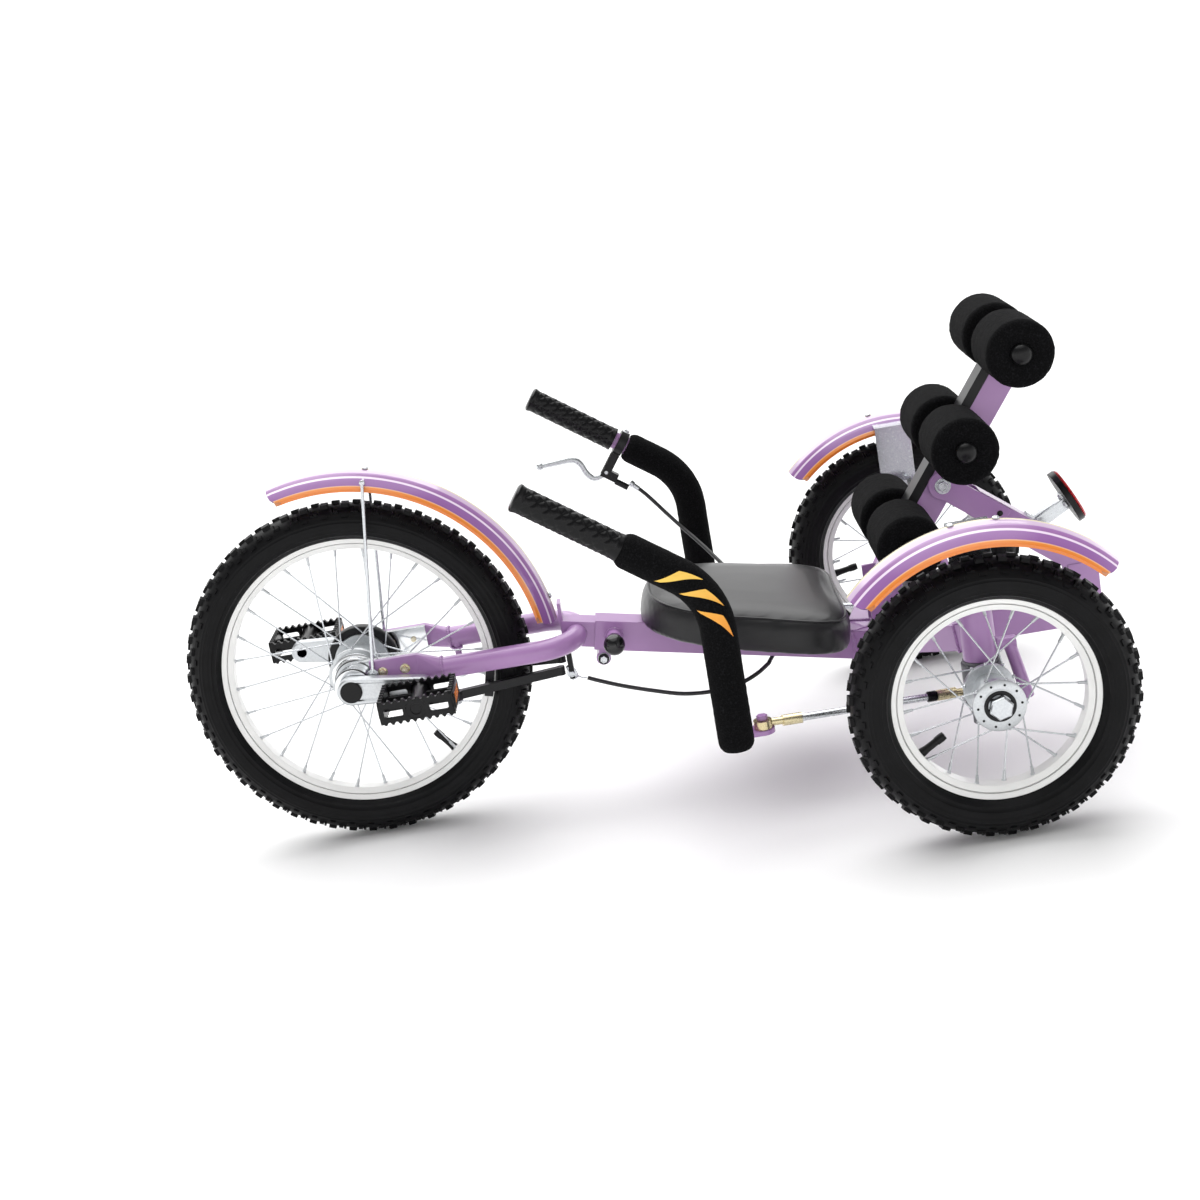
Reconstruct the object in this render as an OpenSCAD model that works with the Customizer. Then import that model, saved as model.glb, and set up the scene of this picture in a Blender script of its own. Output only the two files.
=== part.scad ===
// Low rider tricycle with rear steering, a telescoping front fork and a roller backrest.
// Millimetres. +X is forward, +Y is the rider's left, +Z is up, and Z = 0 is the ground.

/* [Front wheel] */
// Radius of the front tyre over its knobs
front_tyre_r = 204; // [196:1:210]
// Width of the front tyre
front_tyre_w = 50; // [44:1:54]
// Radius of the front rim at the tyre
front_rim_r = 161; // [155:1:165]
// Width of the front rim
front_rim_w = 28; // [24:1:30]
// Spokes in the front wheel
front_spoke_n = 28; // [20:4:36]
// Diameter of the front hub flanges
front_flange_d = 66; // [58:1:72]
// Distance from the wheel's middle to each front hub flange
front_flange_y = 28; // [24:1:30]

/* [Rear wheels] */
// Radius of the rear tyres over their knobs
rear_tyre_r = 152; // [146:1:158]
// Width of the rear tyres
rear_tyre_w = 54; // [48:1:56]
// Radius of the rear rims at the tyre
rear_rim_r = 108; // [104:1:112]
// Width of the rear rims
rear_rim_w = 30; // [26:1:32]
// Spokes in each rear wheel
rear_spoke_n = 20; // [16:4:28]
// Diameter of the rear hub flanges
rear_flange_d = 54; // [48:1:60]
// Distance from the wheel's middle to each rear hub flange
rear_flange_y = 25; // [22:1:27]
// Diameter of the stub axles
stub_d = 15; // [12:1:17]

/* [Wheel making] */
// Depth of the rims from the tyre inwards
rim_depth = 13; // [10:1:16]
// Wall of the rims
rim_wall = 3; // [2:0.5:4]
// Wall of the tyres
tyre_wall = 6; // [4:0.5:8]
// Tread knobs of one side round the front tyre
front_knob_n = 52; // [40:2:60]
// Tread knobs of one side round a rear tyre
rear_knob_n = 40; // [30:2:48]
// Diameter of a spoke
spoke_d = 1.8; // [1.4:0.1:2]

/* [Chassis] */
// Distance between the front and rear axles
wheelbase = 688; // [670:1:710]
// Distance from the middle plane to each rear wheel's middle
half_track = 300; // [290:1:320]
// Distance from the rear axle to the back of the frame
rear_overhang = 182; // [178:1:190]
// Distance from a rear wheel's middle in to its kingpin
kingpin_inset = 60; // [56:1:64]
// Fall of the spine towards the rear, in degrees
spine_slope = 12; // [10:0.5:13]
// Outer size of the square spine tube
spine_w = 35; // [34:0.5:38]
// Wall of the spine tube
spine_wall = 2.2; // [2:0.1:2.5]
// Outer diameter of the rear head tubes
head_d = 36; // [34:1:38]
// Height of the rear head tubes
head_h = 72; // [66:1:78]
// Diameter of the kingpins
kingpin_d = 20; // [16:1:22]

/* [Fork] */
// Distance from the front axle back to the crown
crown_back = 260; // [255:1:265]
// Distance from the middle plane to each fork stay
stay_y = 60; // [58:1:62]
// Diameter of the fork stays
stay_d = 25; // [22:1:26]
// Wall of the slide tube
slide_wall = 3; // [2:0.5:4]
// Length of the slide tube
slide_len = 262; // [250:1:270]
// Travel of the slide tube
slide_travel = 150; // [120:5:150]

/* [Drive] */
// Diameter of the crank axle
crank_axle_d = 20; // [18:1:22]
// Length of a crank between its centres
crank_len = 80; // [74:1:90]
// Angle of the left crank below level, in degrees
crank_drop = 6; // [0:1:15]
// Diameter of a pedal spindle
spindle_d = 12; // [10:1:14]
// Length of a pedal, fore and aft
pedal_len = 84; // [76:1:90]
// Width of a pedal, across
pedal_w = 68; // [60:1:74]
// Thickness of a pedal
pedal_h = 24; // [20:1:26]

/* [Steering] */
// Distance from the front axle back to the steering bar
bar_back = 420; // [415:1:425]
// Distance from the middle plane to each handle
handle_y = 280; // [274:1:286]
// Diameter of the steering bar's tube
bar_d = 22; // [20:1:24]
// Outer diameter of the foam sleeves
sleeve_d = 38; // [36:1:42]
// Outer diameter of the grips
grip_d = 29; // [27:1:32]
// Length of the grips
grip_len = 120; // [110:1:125]
// Radius of the handle's bend
handle_bend_r = 80; // [74:1:86]
// Turn of the handle's bend, in degrees
handle_turn = 53.8; // [50:0.2:56]
// Length of a knuckle arm between its centres
arm_len = 70; // [66:1:74]
// Diameter of the tie rods
tie_rod_d = 8; // [7:0.5:9]

/* [Seat] */
// Length of the seat pad
seat_len = 236; // [220:1:240]
// Width of the seat pad at the back
seat_rear_w = 262; // [240:1:270]
// Width of the seat pad at the front
seat_front_w = 206; // [190:1:220]
// Thickness of the seat pad at its edge
seat_h = 38; // [30:1:42]
// Rise of the seat pad's crown above its edge
seat_crown = 4; // [2:0.5:6]

/* [Backrest] */
// Lean of the backrest from upright, in degrees
post_lean = 36.4; // [33:0.2:39]
// Width of the backrest post across
post_w = 32; // [28:1:34]
// Depth of the backrest post
post_t = 30; // [26:1:32]
// Thickness of the black strip on the post's front
strip_t = 11; // [9:1:13]
// Diameter of the foam rollers
roller_d = 75; // [68:1:80]
// Distance from the middle plane to the rollers' outer ends
roller_end_y = 116; // [108:1:122]
// Diameter of the roller rods
roller_rod_d = 8; // [6:0.5:9]

/* [Fenders] */
// Gap between the front tyre and the edges of its fender
front_fender_gap = 27; // [24:1:30]
// Half the width of the front fender
front_fender_hw = 28; // [26:1:32]
// Gap between a rear tyre and the edges of its fender
rear_fender_gap = 26; // [22:1:28]
// Half the width of the rear fenders
rear_fender_hw = 31; // [28:1:34]
// Thickness of the fenders
fender_t = 1.6; // [1.2:0.1:2]
// Rise of a fender's crown above its edges
fender_rise = 8; // [6:0.5:9]

/* [Hidden] */
$fn = 48;
// Running clearance of a pin or shaft in its bore, on the radius
fit = 0.05;
// Clearance between pieces that move past each other
gap = 0.3;
// Clearance between pieces that are fixed together
seat_gap = 0.1;
// Overrun of cuts
over = 2;

// Paint, metal, rubber, foam and plastic colours
paint = [0.71, 0.56, 0.82];
steel = [0.78, 0.79, 0.8];
brass = [0.76, 0.66, 0.45];
white = [0.93, 0.93, 0.92];
black = [0.08, 0.08, 0.09];
grey = [0.3, 0.3, 0.32];
red = [0.7, 0.05, 0.1];

// Places along the length
body_len = front_tyre_r + wheelbase + rear_overhang;
front_axle_x = body_len / 2 - front_tyre_r;
rear_axle_x = front_axle_x - wheelbase;
rear_x = rear_axle_x - rear_overhang;
front_axle = [front_axle_x, 0, front_tyre_r];
kingpin_y = half_track - kingpin_inset;

// Spine: its line falls from the crown, then runs level to the back
crown_rise = 2;
crown_z = front_tyre_r + crown_rise;
spine_front_gap = 21;
spine_front_back = crown_back + spine_front_gap;
spine_bend_ahead = 88;
spine_bend_back = wheelbase - spine_bend_ahead;
spine_in = spine_w - 2 * spine_wall;
spine_bore_len = 250;
tail_step = 0.6;
tail_w = spine_w - tail_step;
function spine_z(back) = crown_z - (back - crown_back) * tan(spine_slope);
function at(back, y, z) = [front_axle_x - back, y, z];
function spine_at(back) = at(back, 0, spine_z(back));
spine_rear_z = spine_z(spine_bend_back);

// Rear head tubes and the beams that carry them
head_rise = 23;
head_z = rear_tyre_r + head_rise;
head_top = head_z + head_h;
beam_w = 30;
beam_h = 28;
beam_ahead = 103;
beam_back = wheelbase - beam_ahead;
beam_out_rise = 26;
beam_out_z = head_z + beam_out_rise;

// Slide tube, lock and pinch bolt
slide_w = spine_in - 2 * gap;
slide_front = 17;
lock_gap = 43;
lock_back = crown_back + lock_gap;
lock_boss_d = 18;
lock_boss_out = 34;
lock_pin_d = 8;
lock_nose_d = 6;
lock_nose_y = 10;
lock_knob_d = 25;
lock_knob_y = 52;
pinch_drop = 28;
pinch_d = 17;
pinch_bolt_d = 7;
pinch_half = 17;

// Backrest: bolts, strut and rollers
post_behind = 15;
post_bolt_back = wheelbase + post_behind;
post_bolt_rise = 176.3;
post_bolt_z = spine_rear_z + post_bolt_rise;
post_bolt_d = 9;
post_wall = 2.5;
post_low = 150;
post_high = 206;
post_low_bolt = 135;
roller_shares = [0.8495, 0.267, -0.3252];
roller_steps = [for (s = roller_shares) s * post_high];
roller_in_y = 22;
strut_slope = 38.5;
strut_h = 30;
strut_start = 42;
clevis_t = 5;
clevis_in = post_w / 2 + gap;
clevis_w = 2 * (clevis_in + clevis_t);
strut_end_back = wheelbase + rear_overhang - spine_w / 2;
function strut_z(back) = post_bolt_z - (back - post_bolt_back) * tan(strut_slope);
function strut_top(back) = strut_z(back) + strut_h / 2 / cos(strut_slope);
foot_plate_l = 40;
foot_plate_h = 84;

// Fork ends, bearings and hub
end_plate_t = 8;
end_plate_h = 28;
end_plate_front = 22;
end_plate_back = 78;
end_plate_rise = 10;
lug_t = 6;
stay_bend_r = 45;
bearing_d = 42;
bearing_relief_share = 0.9;
bearing_in_y = 47;
bearing_out_y = 74;
fork_bolt_d = 6;
fork_bolt_head_d = 11;
fork_bolt_head_h = 4;
fork_bolt_first = 36;
fork_bolt_pitch = 26;
fork_bolt_backs = [fork_bolt_first, fork_bolt_first + fork_bolt_pitch];
front_flange_t = 6;
front_barrel_d = 46;
drum_d = 82;
drum_in_y = 32;
drum_out_y = 44;

// Cranks and pedals
crank_gap = 3;
crank_in_y = bearing_out_y + crank_gap;
crank_t = 14;
crank_w = 24;
crank_eye_d = 36;
pedal_eye_d = 26;
crank_cap_h = 5;
pedal_gap = 4;
pedal_in_y = crank_in_y + crank_t + pedal_gap;
pedal_rail = 10;
pedal_barrel_d = 22;

// Brake
brake_pivot_back = 112;
brake_pivot_y = 52;
brake_pivot_d = 8;
brake_pivot_low = 46;
brake_arm_drop = 36;
brake_arm_z = front_tyre_r - brake_arm_drop;
brake_arm_h = 10;
brake_arm_w = 8;
brake_tip_share = 1.25;
pad_stud_share = 0.7;
brake_eye_d = 16;
brake_end_back = 235;
brake_end_y = 24;
pad_back = 150;
pad_gap = 2;
pad_t = 9;
pad_len = 34;
pad_h = 10;
hanger_w = 14;
hanger_t = 6;
hanger_back = 246;
hanger_drop = 54;
hanger_low = front_tyre_r - hanger_drop;

// Steering bar and handles
bar_x = front_axle_x - bar_back;
bar_drop = 40;
bar_mid_z = spine_z(bar_back) - bar_drop;
bar_end_rise = 14;
bar_end_z = bar_mid_z + bar_end_rise;
bar_start_y = 9;
bar_cross_step = 2;
bar_cross_d = bar_d - bar_cross_step;
handle_rise = 133;
handle_bend_z = bar_mid_z + handle_rise;
bar_hub_d = 28;
bar_hub_drop = 18;
bar_hub_low = bar_mid_z - bar_hub_drop;
pivot_bolt_d = 10;
pivot_head_d = 20;
pivot_head_h = 6;
sleeve_drop = 12;
sleeve_low_z = bar_end_z - sleeve_drop;
sleeve_past = 46;
notch_w = bar_d + 2 * gap;
clamp_at = 54;
clamp_w = 11;
clamp_d = 32;
perch_share = 1.5;
grip_at = 65;
grip_end_t = 5;
function bend_end(y) = [bar_x + handle_bend_r * (1 - cos(handle_turn)), y,
    handle_bend_z + handle_bend_r * sin(handle_turn)];
handle_dir = [sin(handle_turn), 0, cos(handle_turn)];

// Brake lever, in the handle's own frame
lever_pivot_out = 42;
lever_pivot_d = 5;
lever_d = 7;
lever_cheek = 12;
lever_slot = 8;
lever_t = 6;
lever_reach = 80;
lever_point_shares = [[0.525, 0], [0.625, 0.0375], [0.7125, 0.1375], [0.6875, 0.275], [0.6, 0.425],
    [0.5875, 0.55], [0.6625, 0.675], [0.775, 0.8125], [0.925, 1]];
lever_points = lever_reach * lever_point_shares;

// Tie rods and knuckles
tie_back = 32;
tie_front_y = 220;
tie_front_rise = 2;
tie_front = [bar_x - tie_back, tie_front_y, bar_mid_z + tie_front_rise];
tie_rear_drop = 37;
tie_rear = [rear_axle_x, kingpin_y - arm_len, rear_tyre_r - tie_rear_drop];
eye_d = 20;
eye_h = 9;
eye_stud_d = 6;
eye_nut_d = 12;
eye_nut_h = 5;
rod_end_d = 12;
shank_share = 0.7;
rod_end_len = 44;
tab_t = 5;
tab_w = 24;
arm_t = 6;
arm_w = 24;
knuckle_d = 42;
knuckle_drop = 26;
knuckle_low = rear_tyre_r - knuckle_drop;
knuckle_neck_d = 30;
stub_shoulder_d = 24;
stub_end = 40;
stub_nut_d = 22;
stub_flat_share = 0.36;
stub_nut_h = 9;
race_h = 4;

// Rear hubs and fender brackets
rear_flange_t = 6;
rear_barrel_d = 36;
rear_hub_half = 32;
bracket_t = 3;
bracket_len = 44;
bracket_inset = 15;
bracket_in_y = kingpin_y - bracket_inset;
bracket_outset = 13;
bracket_up_y = kingpin_y + bracket_outset;
collar_h = 4.7;
kingpin_nut_d = 28;
kingpin_nut_h = 8;

// Fender spans, in degrees from straight ahead
front_fender_start = 75;
front_fender_end = 175;
rear_fender_start = 44;
rear_fender_end = 138;
fender_wire_d = 4;
fender_wire_lean = 2.6;
fender_wire_angle = 103;

// Seat base and reflector
base_t = 4;
base_l_share = 0.78;
base_w_share = 0.62;
seat_ahead = 239;
seat_back = wheelbase - seat_ahead;
seat_ring_shares = [[0.05, 0], [0.005, 0.1], [0, 0.45], [0.01, 0.75], [0.045, 0.93], [0.11, 1]];
seat_crown_shares = [[0.35, 0.6], [0.68, 0.9]];
reflector_d = 66;
reflector_t = 7;
lens_t = 6;
reflector_behind = 154;
reflector_back = wheelbase + reflector_behind;
reflector_rise = 18.2;
reflector_tilt = 26;
reflector_bracket_w = 14;
reflector_foot_behind = 116;
reflector_foot_back = wheelbase + reflector_foot_behind;
reflector_z = strut_top(reflector_foot_back) + reflector_rise;

// Brake cable: housing diameter and route points, chosen by hand
cable_d = 5;
cable_rear_route = [[-14, -280, 308], [-32, -276, 290], [-62, -256, 255], [-96, -214, 222], [-124, -168, 193],
    [-146, -118, 167], [-156, -70, 146], [-154, -28, 133], [-144.7, -2, 127.4]];
cable_front_route = [[-144, 0, 127], [-128, 13, 121], [-106, 21, 115], [-76, 24, 112], [-40, 22, 114],
    [-6, 14, 121], [28, 6, 130], [54, 1, 139], [70, 0, 146]];

// Shapes that repeat

// A round bar between two points
module rod(a, b, d) {
    v = b - a;
    translate(a) rotate([0, acos(v.z / norm(v)), atan2(v.y, v.x)]) cylinder(d = d, h = norm(v));
}

// A square-ended beam between two points, w across and h deep
module beam(a, b, w, h) {
    v = b - a;
    translate(a) rotate([0, -asin(v.z / norm(v)), atan2(v.y, v.x)])
        translate([0, -w / 2, -h / 2]) cube([norm(v), w, h]);
}

// A cylinder along Y from y0 to y1 at the place p
module across(p, d, y0, y1) {
    translate([p.x, y0, p.z]) rotate([-90, 0, 0]) cylinder(d = d, h = y1 - y0);
}

// A round profile turned about a wheel's axle
module turned(p) {
    translate(p) rotate([-90, 0, 0]) rotate_extrude($fn = 96) children();
}

// The right-hand twin of a left-hand piece
module twin() {
    mirror([0, 1, 0]) children();
}

// The frame of the seat: its floor is the top of the spine
module on_seat() {
    translate(spine_at(seat_back)) rotate([0, -spine_slope, 0]) translate([0, 0, spine_w / 2]) children();
}

// The frame of the backrest: Z runs up the post from its bolt, X looks forward
module on_post() {
    translate(at(post_bolt_back, 0, post_bolt_z)) rotate([0, -post_lean, 0]) children();
}

// The frame of a handle: Z runs along it from the end of its bend, X looks down
module on_handle(s) {
    translate(bend_end(handle_y) + s * handle_dir) rotate([0, handle_turn, 0]) children();
}

// A straight tube, or a bar where it has no bore
module pipe(d, bore, h) {
    difference() {
        cylinder(d = d, h = h);
        if (bore > 0) translate([0, 0, -over]) cylinder(d = bore, h = h + 2 * over);
    }
}

// A bent handle's centre line as a round bar with a bore.
// The bend is a hair thinner and laps into the straights.
bend_step = 0.2;
bend_lap = 1;
module handle_sweep(d, bore, low_z, past) {
    translate([bar_x, handle_y, low_z]) pipe(d, bore, handle_bend_z - low_z);
    translate([bar_x + handle_bend_r, handle_y, handle_bend_z]) rotate([90, 0, 0])
        rotate([0, 0, 180 - handle_turn - bend_lap]) rotate_extrude(angle = handle_turn + 2 * bend_lap)
            translate([handle_bend_r, 0]) difference() {
                circle(d = d - 2 * bend_step);
                if (bore > 0) circle(d = bore + 2 * bend_step);
            }
    on_handle(0) pipe(d, bore, past);
}

// A tube swept along a route of points
function route_dir(pts, i) = let (n = len(pts) - 1, v = pts[min(i + 1, n)] - pts[max(i - 1, 0)]) v / norm(v);
function route_side(t) = let (s = cross(t, [0, 0, 1])) s / norm(s);
module route_tube(pts, d, sides) {
    n = len(pts);
    ring = [for (i = [0:n - 1]) let (t = route_dir(pts, i), s = route_side(t), u = cross(s, t))
        for (k = [0:sides - 1]) pts[i] + d / 2 * (cos(360 * k / sides) * s + sin(360 * k / sides) * u)];
    walls = [for (i = [0:n - 2], k = [0:sides - 1], half = [0, 1])
        let (a = i * sides + k, b = i * sides + (k + 1) % sides)
            half == 0 ? [a, b, b + sides] : [a, b + sides, a + sides]];
    caps = [for (k = [1:sides - 2], end = [0, 1])
        end == 0 ? [0, k + 1, k] : [(n - 1) * sides, (n - 1) * sides + k, (n - 1) * sides + k + 1]];
    polyhedron(ring, concat(walls, caps), convexity = 8);
}

// Wheel pieces

// Section of a tyre: an oval shell that is open at the rim
belly_share = 0.45;
tyre_steps = 16;
function tyre_oval(rc, a, hw, t0) = [for (i = [0:tyre_steps]) let (t = -t0 + i * (180 + 2 * t0) / tyre_steps)
    [rc + a * sin(t), hw * cos(t)]];
module tyre(rim_r, tyre_r, w) {
    bead_r = rim_r + seat_gap;
    casing_r = tyre_r - knob_h;
    rc = bead_r + belly_share * (casing_r - bead_r);
    a = casing_r - rc;
    t0 = asin((rc - bead_r) / a);
    inner = tyre_oval(rc, a - tyre_wall, w / 2 - tyre_wall, t0);
    polygon(concat(tyre_oval(rc, a, w / 2, t0), [for (i = [tyre_steps:-1:0]) inner[i]]));
}

// Tread: crown knobs on one side and shoulder lugs on the other, turned by turns round the tyre
knob_h = 3.4;
knob_sink = 1.2;
knob_in = 1.2;
knob_w = 10.4;
knob_slant = 0.8;
knob_drop = 1.4;
knob_l = 9.6;
lug_turn = 50;
lug_w = 8.8;
lug_top_share = 0.82;
lug_rise_share = 0.8;
module tread_blocks(rim_r, tyre_r, w, side) {
    bead_r = rim_r + seat_gap;
    casing_r = tyre_r - knob_h;
    rc = bead_r + belly_share * (casing_r - bead_r);
    a = casing_r - rc;
    hw = w / 2;
    edge_y = knob_in + knob_w;
    edge_r = rc + a * sqrt(1 - pow(edge_y / hw, 2));
    polygon([[casing_r - knob_sink, side * knob_in], [tyre_r, side * (knob_in + knob_slant)],
        [tyre_r - knob_drop, side * (edge_y - knob_slant)], [edge_r - knob_sink, side * edge_y]]);
    mid = [rc + a * sin(lug_turn), hw * cos(lug_turn)];
    along = [a * cos(lug_turn), -hw * sin(lug_turn)] / norm([a * cos(lug_turn), -hw * sin(lug_turn)]);
    out = [-along.y, along.x];
    low = mid - knob_sink * out;
    top = mid + knob_h * lug_rise_share * out;
    lug = [low - lug_w / 2 * along, low + lug_w / 2 * along,
        top + lug_w / 2 * lug_top_share * along, top - lug_w / 2 * lug_top_share * along];
    polygon([for (q = lug) [q.x, -side * q.y]]);
}
module tread(rim_r, tyre_r, w, n) {
    turn = 180 * knob_l / (PI * tyre_r);
    for (k = [0:n - 1], half = [0, 1])
        rotate([0, 0, 360 * (k + half / 2) / n - turn / 2]) rotate_extrude(angle = turn)
            tread_blocks(rim_r, tyre_r, w, 1 - 2 * half);
}

// Section of a rim: a channel with its floor towards the hub
floor_share = 0.55;
well_share = 0.5;
module rim(rim_r, w) {
    h = w / 2;
    well = rim_r - rim_depth * well_share;
    polygon([[rim_r, h], [rim_r, h - rim_wall], [well, h - rim_wall], [well, rim_wall - h],
        [rim_r, rim_wall - h],
        [rim_r, -h], [rim_r - rim_depth, -h * floor_share], [rim_r - rim_depth, h * floor_share]]);
}

// Crossed spokes from the hub's flanges to the rim
lace = 38;
spoke_stagger_share = 1.3;
rim_hole_share = 0.25;
module spokes(p, n, flange_d, flange_y, rim_r, rim_w) {
    hub_r = flange_d / 2 + spoke_d / 2;
    rim_in = rim_r - rim_depth - gap;
    for (i = [0:n - 1]) {
        side = i % 2 == 0 ? 1 : -1;
        pair = floor(i / 2) % 2 == 0 ? 1 : -1;
        out = 360 * i / n;
        in = out + pair * lace;
        y = flange_y + pair * spoke_d * spoke_stagger_share;
        rod(p + [hub_r * cos(in), side * y, hub_r * sin(in)],
            p + [rim_in * cos(out), side * rim_w / 2 * rim_hole_share, rim_in * sin(out)], spoke_d, $fn = 16);
    }
}

// Section of a fender: a shallow arch of even thickness
fender_steps = 10;
module fender_section(edge_r, hw) {
    function arch(r) = [for (i = [0:fender_steps]) let (u = 2 * i / fender_steps - 1)
        [r + fender_rise * (1 - u * u), hw * u]];
    outer = arch(edge_r + fender_t);
    polygon(concat(arch(edge_r), [for (i = [fender_steps:-1:0]) outer[i]]));
}
module fender(p, edge_r, hw, start, end) {
    translate(p) rotate([90, 0, 0]) rotate([0, 0, start]) rotate_extrude(angle = end - start, $fn = 96)
        fender_section(edge_r, hw);
}

// A bolt head or nut with six sides along Z
module hex(d, h) {
    cylinder(d = d, h = h, $fn = 6);
}

// Main frame

module head_tube() {
    translate([rear_axle_x, kingpin_y, head_z]) cylinder(d = head_d, h = head_h);
    beam(at(beam_back, 0, spine_rear_z + spine_w / 2 - beam_h / 2), [rear_axle_x, kingpin_y, beam_out_z],
        beam_w, beam_h);
}

// Bent guard behind each rear hub
guard_d = 14;
guard_out = 45;
guard_rise = 12;
guard_z = head_z + guard_rise;
guard_drop = 28;
guard_low = rear_tyre_r - guard_drop;
guard_bend_share = 0.7;
module hub_guard() {
    top = [rear_axle_x - guard_out * guard_bend_share, kingpin_y, guard_z];
    low = [rear_axle_x - guard_out, kingpin_y, guard_low];
    rod([rear_axle_x, kingpin_y, guard_z], top - [guard_d / 2, 0, 0], guard_d);
    rod(top, low, guard_d - 2 * bend_step);
}

module strut() {
    start = at(post_bolt_back + strut_start * cos(strut_slope), 0,
        post_bolt_z - strut_start * sin(strut_slope));
    stop = at(strut_end_back, 0, strut_z(strut_end_back));
    bolt = at(post_bolt_back, 0, post_bolt_z);
    lap = at(post_bolt_back + 2 * strut_start * cos(strut_slope), 0,
        post_bolt_z - 2 * strut_start * sin(strut_slope));
    beam(start, stop, spine_w - over, strut_h);
    for (s = [-1, 1]) {
        y = s * (clevis_in + clevis_t / 2);
        across(bolt, strut_h + over, y - clevis_t / 2, y + clevis_t / 2);
        beam(bolt + [0, y, 0], lap + [0, y, 0], clevis_t, strut_h - over);
    }
    translate(at(strut_end_back + spine_w / 2, -spine_w / 2, spine_rear_z - spine_w / 2))
        cube([spine_w, spine_w, strut_z(strut_end_back) - spine_rear_z + spine_w / 2]);
}

low_bolt_back = post_bolt_back - post_low_bolt * sin(post_lean);
low_bolt_z = post_bolt_z - post_low_bolt * cos(post_lean);
pinch_back = spine_front_back + pinch_d / 3;
pinch_at = at(pinch_back, 0, spine_z(pinch_back) - pinch_drop);
lock_at = spine_at(lock_back);
pivot_boss_gap = 4;
pivot_boss_low = bar_mid_z + bar_d / 2 + pivot_boss_gap;
pivot_top = spine_z(bar_back) - spine_in / 2 / cos(spine_slope) - pivot_bolt_d / 2 * tan(spine_slope) - gap;

module main_frame() {
    color(paint) difference() {
        union() {
            beam(spine_at(spine_front_back), spine_at(spine_bend_back), spine_w, spine_w);
            beam(at(spine_bend_back - spine_w / 2, 0, spine_rear_z), [rear_x, 0, spine_rear_z],
                tail_w, tail_w);
            head_tube();
            twin() head_tube();
            hub_guard();
            twin() hub_guard();
            strut();
            across(lock_at, lock_boss_d, 0, lock_boss_out);
            across(pinch_at, pinch_d, -pinch_half, pinch_half);
            translate([pinch_at.x - pinch_d / 4, -pinch_half, pinch_at.z])
                cube([pinch_d / 2, 2 * pinch_half, pinch_drop - spine_w / 4]);
            translate([bar_x, 0, pivot_boss_low])
                cylinder(d = bar_hub_d, h = spine_z(bar_back) - pivot_boss_low);
            for (s = [-1, 1])
                translate(at(low_bolt_back + foot_plate_l / 2, s * (clevis_in + clevis_t / 2) - clevis_t / 2,
                    low_bolt_z + foot_plate_l / 2 - foot_plate_h))
                    cube([foot_plate_l, clevis_t, foot_plate_h]);
        }
        beam(spine_at(spine_front_back - over), spine_at(spine_front_back + spine_bore_len),
            spine_in, spine_in);
        for (s = [-1, 1])
            translate([rear_axle_x, s * kingpin_y, head_z - over])
                cylinder(d = kingpin_d + 2 * fit, h = head_h + 2 * over);
        across(lock_at, lock_pin_d + 2 * fit, 0, lock_boss_out + over);
        across(pinch_at, pinch_bolt_d + 2 * seat_gap, -pinch_half - over, pinch_half + over);
        translate([bar_x, 0, pivot_boss_low - over])
            cylinder(d = pivot_bolt_d + 2 * seat_gap, h = spine_w / 2 + over);
        across(at(post_bolt_back, 0, post_bolt_z), post_bolt_d + 2 * seat_gap, -clevis_w, clevis_w);
        across(at(low_bolt_back, 0, low_bolt_z), post_bolt_d + 2 * seat_gap, -clevis_w, clevis_w);
    }
}

// Bolts that hold the backrest and the pinch lug
bolt_head_d = 16;
bolt_head_h = 5;
module cross_bolt(p, d, half) {
    across(p, d, -half, half);
    for (s = [-1, 1])
        translate([p.x, s * half, p.z]) rotate([-90 * s, 0, 0]) cylinder(d = bolt_head_d, h = bolt_head_h);
}
module frame_bolts() {
    color(steel) {
        cross_bolt(at(post_bolt_back, 0, post_bolt_z), post_bolt_d, clevis_w / 2 + seat_gap);
        cross_bolt(at(low_bolt_back, 0, low_bolt_z), post_bolt_d, clevis_w / 2 + seat_gap);
        cross_bolt(pinch_at, pinch_bolt_d, pinch_half + seat_gap);
    }
}

// Seat

module seat_base() {
    l = seat_len * base_l_share;
    w = seat_front_w * base_w_share;
    color(black) on_seat() translate([-l / 2, -w / 2, 0]) cube([l, w, base_t]);
}

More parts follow.
